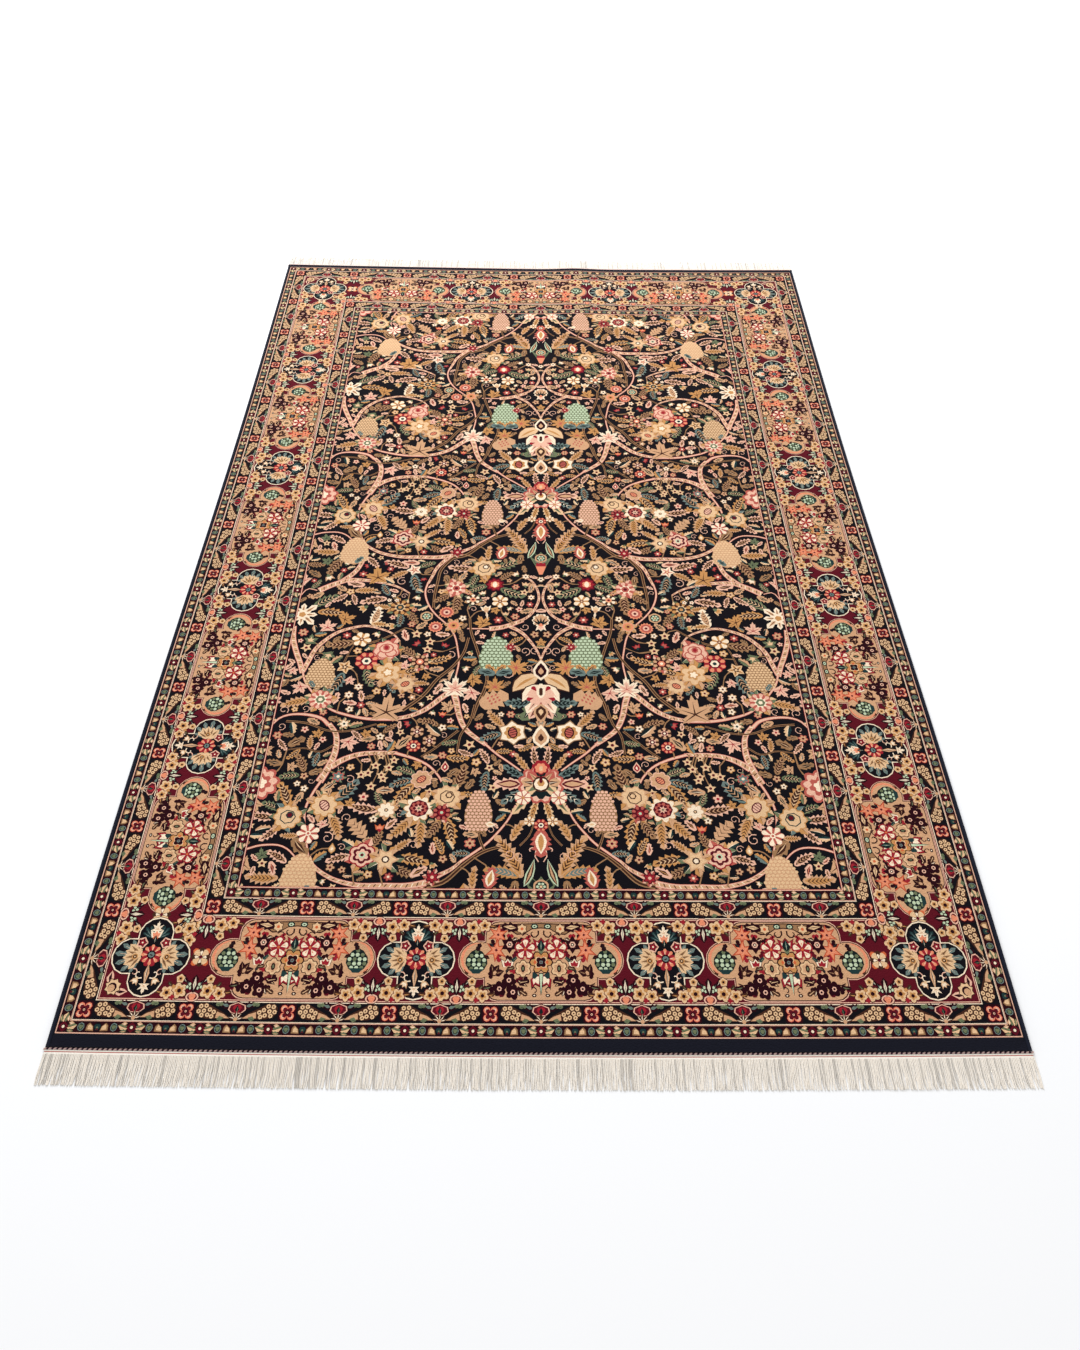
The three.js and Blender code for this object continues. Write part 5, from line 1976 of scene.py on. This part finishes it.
class CarpetColours(bpy.types.PropertyGroup):
    cord: bpy.props.FloatVectorProperty(
        name="Side cords", description="Dye of the overcast side cords", default=(0.012, 0.014, 0.024),
        subtype="COLOR")
    row_light: bpy.props.FloatVectorProperty(
        name="Twined row, light", description="Dye of the light twined yarn", default=(0.6, 0.42, 0.38),
        subtype="COLOR")
    row_dark: bpy.props.FloatVectorProperty(
        name="Twined row, dark", description="Dye of the dark twined yarn", default=(0.05, 0.02, 0.04),
        subtype="COLOR")
    cotton: bpy.props.FloatVectorProperty(
        name="Cotton", description="Colour of the loose warp ends", default=(0.89, 0.825, 0.735),
        subtype="COLOR")


# Operators

SIDES = (("left", -1), ("right", 1))
ENDS = (("near", -1), ("far", 1))


def declare(piece, node):
    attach(piece, "root")
    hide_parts(node)


def knot_slab(name, plan, triangles, dyes):
    """One slab of the pile's skin."""
    sizes = bpy.context.scene.carpet_sizes
    wool = bpy.data.materials.get("Wool pile")
    wool = wool or yarn_material("Wool pile", sizes.knot_pitch, knot_amount=0.5, bump=0.0015,
        roughness=0.9, sheen=0.04, band_amount=0.25)
    declare(slab(name, plan, triangles, dyes, sizes.pile_height / MM, wool), "pile")


class CARPET_OT_field(bpy.types.Operator):
    """Knot the field's pile"""

    bl_idname = "carpet.field"
    bl_label = "Field pile"

    def execute(self, context):
        chart = field_chart()
        corner = -FIELD_HALF_WIDTH - 1j * FIELD_HALF_LENGTH
        for end, low, high in (("near", corner, 0j), ("far", corner.real + 0j, -1j * corner.imag)):
            plan, triangles, dyes = cut_plan(chart, low, high)
            knot_slab(f"pile_field_{end}_left", plan, triangles, dyes)
            knot_slab(f"pile_field_{end}_right", -np.conj(plan), triangles[:, ::-1], dyes)
        return {"FINISHED"}


class CARPET_OT_borders(bpy.types.Operator):
    """Knot the borders' pile"""

    bl_idname = "carpet.borders"
    bl_label = "Border pile"

    def execute(self, context):
        chart = border_chart()
        corner = -PILE_HALF_WIDTH - 1j * HALF_LENGTH
        inner = -FIELD_HALF_WIDTH - 1j * FIELD_HALF_LENGTH
        for name, low, high in (
            ("end", corner, 1j * inner.imag),
            ("side", corner.real + 1j * inner.imag, inner.real + 0j),
        ):
            plan, triangles, dyes = cut_plan(chart, low, high)
            turned = triangles[:, ::-1]
            knot_slab(f"pile_{name}_near_left", plan, triangles, dyes)
            knot_slab(f"pile_{name}_near_right", -np.conj(plan), turned, dyes)
            knot_slab(f"pile_{name}_far_left", np.conj(plan), turned, dyes)
            knot_slab(f"pile_{name}_far_right", -plan, triangles, dyes)
        return {"FINISHED"}


class CARPET_OT_side_cords(bpy.types.Operator):
    """Overcast the long sides"""

    bl_idname = "carpet.side_cords"
    bl_label = "Side cords"

    def execute(self, context):
        sizes, colours = context.scene.carpet_sizes, context.scene.carpet_colours
        tree = wrapped_cord_tree(yarn_material("Cord wool", knot_pitch=0.002, knot_amount=0.4,
            bump=0.0006, colour=colours.cord))
        values = {"Width": CORD_WIDTH * MM, "Height": CORD_HEIGHT * MM, "Turn Pitch": sizes.turn_pitch}
        for name, side in SIDES:
            line = beside_pile(side, PIECE_GAP + CORD_WIDTH / 2, CORD_HEIGHT / 2)
            declare(grown("overcast_cord_" + name, line, tree, values), "side_cord_" + name)
        return {"FINISHED"}


class CARPET_OT_twined_rows(bpy.types.Operator):
    """Twine a row across each end"""

    bl_idname = "carpet.twined_rows"
    bl_label = "Twined rows"

    def execute(self, context):
        sizes, colours = context.scene.carpet_sizes, context.scene.carpet_colours
        tree = twined_row_tree([
            yarn_material("Twined yarn " + name, knot_pitch=0.002, knot_amount=0.3, bump=0.0004, colour=dye)
            for name, dye in (("light", colours.row_light), ("dark", colours.row_dark))])
        values = {"Width": ROW_WIDTH * MM, "Height": ROW_HEIGHT * MM, "Stitch Pitch": sizes.stitch_pitch}
        for name, end in ENDS:
            line = beyond_pile(end, PIECE_GAP + ROW_WIDTH / 2, ROW_HEIGHT / 2)
            declare(grown("twined_yarn_" + name, line, tree, values), "twined_row_" + name)
        return {"FINISHED"}


class CARPET_OT_fringes(bpy.types.Operator):
    """Weave the web and comb out the fringe at each end"""

    bl_idname = "carpet.fringes"
    bl_label = "Webs and fringes"

    def execute(self, context):
        sizes, colours = context.scene.carpet_sizes, context.scene.carpet_colours
        # The fringe's cotton gets painted shade on some strands, for the shadow in the grooves between them
        tree = fringe_tree(yarn_material("Fringe cotton", knot_pitch=0.003, knot_amount=0.25, bump=0.0004,
            roughness=0.9, sheen=0.05, colour=colours.cotton, painted_grooves=True))
        woven = yarn_material("Woven cotton", knot_pitch=0.003, knot_amount=0.3, bump=0.0006,
            roughness=0.9, sheen=0.05)
        values = {"Strands": sizes.strand_count, "Length": FRINGE_LENGTH * MM,
            "Thickness": sizes.strand_thickness}
        for name, end in ENDS:
            line = beyond_pile(end, WEB_START + WEB_WIDTH - STRAND_INSET, STRAND_ROOT)
            values["Turn"] = math.pi if end < 0 else 0.0
            declare(web("web_" + name, end, woven), "fringe_" + name)
            declare(grown("fringe_strands_" + name, line, tree, values), "fringe_" + name)
        return {"FINISHED"}


# The camera, as measured from the photo: metres, degrees and millimetres
CAMERA_PLACE = (-0.023, -1.960, 1.835)
CAMERA_PITCH, CAMERA_YAW, CAMERA_ROLL = 51.44, 0.83, 1.08
CAMERA_LENS = 25.84
FLOOR_LOW, FLOOR_HIGH, FLOOR_COLOUR = (-14, -14, -0.02), (14, 22, 0), (0.925, 0.925, 0.925, 1)
FLOOR_ROUGHNESS, FLOOR_SPECULAR = 0.8, 0.1
WORLD_STRENGTH = 0.68
LAMP_WIDTH = 3
# Each lamp's name, place in metres, power in watts and colour
LAMPS = (("Key", (-1.5, 5.0, 3.6), 430, (0.97, 0.99, 1.04)), ("Fill", (2.0, 0.0, 5.0), 20, (1, 1, 1)))


def lay_floor():
    paper = bpy.data.materials.new("Pale floor")
    paper.use_nodes = True
    set_inputs(paper.node_tree, paper.node_tree.nodes["Principled BSDF"], {
        "Base Color": FLOOR_COLOUR, "Roughness": FLOOR_ROUGHNESS, "Specular IOR Level": FLOOR_SPECULAR})
    corners = [(x, y, z) for z in (FLOOR_LOW[2], FLOOR_HIGH[2]) for y in (FLOOR_LOW[1], FLOOR_HIGH[1])
               for x in (FLOOR_LOW[0], FLOOR_HIGH[0])]
    mesh = bpy.data.meshes.new("floor")
    mesh.from_pydata(corners, [], [(0, 2, 3, 1), (4, 5, 7, 6), (0, 1, 5, 4), (1, 3, 7, 5), (3, 2, 6, 7),
        (2, 0, 4, 6)])
    mesh.materials.append(paper)
    keep("floor", mesh)


def light_studio(scene):
    scene.view_settings.view_transform = "Standard"
    scene.world = bpy.data.worlds.new("Studio")
    scene.world.use_nodes = True
    tree = scene.world.node_tree
    set_inputs(tree, tree.nodes["Background"], {"Color": (1, 1, 1, 1), "Strength": WORLD_STRENGTH})
    for name, place, energy, colour in LAMPS:
        light = bpy.data.lights.new(name, "AREA")
        light.size = LAMP_WIDTH
        light.energy = energy
        light.color = colour
        lamp = keep(name, light)
        lamp.location = place
        lamp.rotation_euler = (-Vector(place)).to_track_quat("-Z", "Y").to_euler()


def aim_camera(scene):
    camera = keep("Camera", bpy.data.cameras.new("Camera"))
    camera.data.lens = CAMERA_LENS
    camera.location = CAMERA_PLACE
    pitch, yaw, roll = (math.radians(angle) for angle in (CAMERA_PITCH, CAMERA_YAW, CAMERA_ROLL))
    turn = Matrix.Rotation(-yaw, 3, "Z") @ Matrix.Rotation(UP - pitch, 3, "X") @ Matrix.Rotation(roll, 3, "Z")
    camera.rotation_euler = turn.to_euler()
    scene.camera = camera


class CARPET_OT_stage(bpy.types.Operator):
    """Set the floor, lights and camera"""

    bl_idname = "carpet.stage"
    bl_label = "Stage"

    def execute(self, context):
        lay_floor()
        light_studio(context.scene)
        aim_camera(context.scene)
        return {"FINISHED"}


class CARPET_PT_panel(bpy.types.Panel):
    bl_label = "Carpet"
    bl_space_type = "VIEW_3D"
    bl_region_type = "UI"
    bl_category = "Carpet"

    def draw(self, context):
        for group in (context.scene.carpet_sizes, context.scene.carpet_colours):
            for name in group.__annotations__:
                self.layout.prop(group, name)
        for operator in OPERATORS:
            self.layout.operator(operator.bl_idname)


OPERATORS = (
    CARPET_OT_field, CARPET_OT_borders, CARPET_OT_side_cords, CARPET_OT_twined_rows, CARPET_OT_fringes,
    CARPET_OT_stage,
)
CLASSES = (CarpetSizes, CarpetColours, *OPERATORS, CARPET_PT_panel)


def register():
    for made in CLASSES:
        bpy.utils.register_class(made)
    bpy.types.Scene.carpet_sizes = bpy.props.PointerProperty(type=CarpetSizes)
    bpy.types.Scene.carpet_colours = bpy.props.PointerProperty(type=CarpetColours)


def unregister():
    del bpy.types.Scene.carpet_colours
    del bpy.types.Scene.carpet_sizes
    for made in reversed(CLASSES):
        bpy.utils.unregister_class(made)


def main():
    register()
    for operator in OPERATORS:
        group, name = operator.bl_idname.split(".")
        getattr(getattr(bpy.ops, group), name)()


if __name__ == "__main__":
    main()
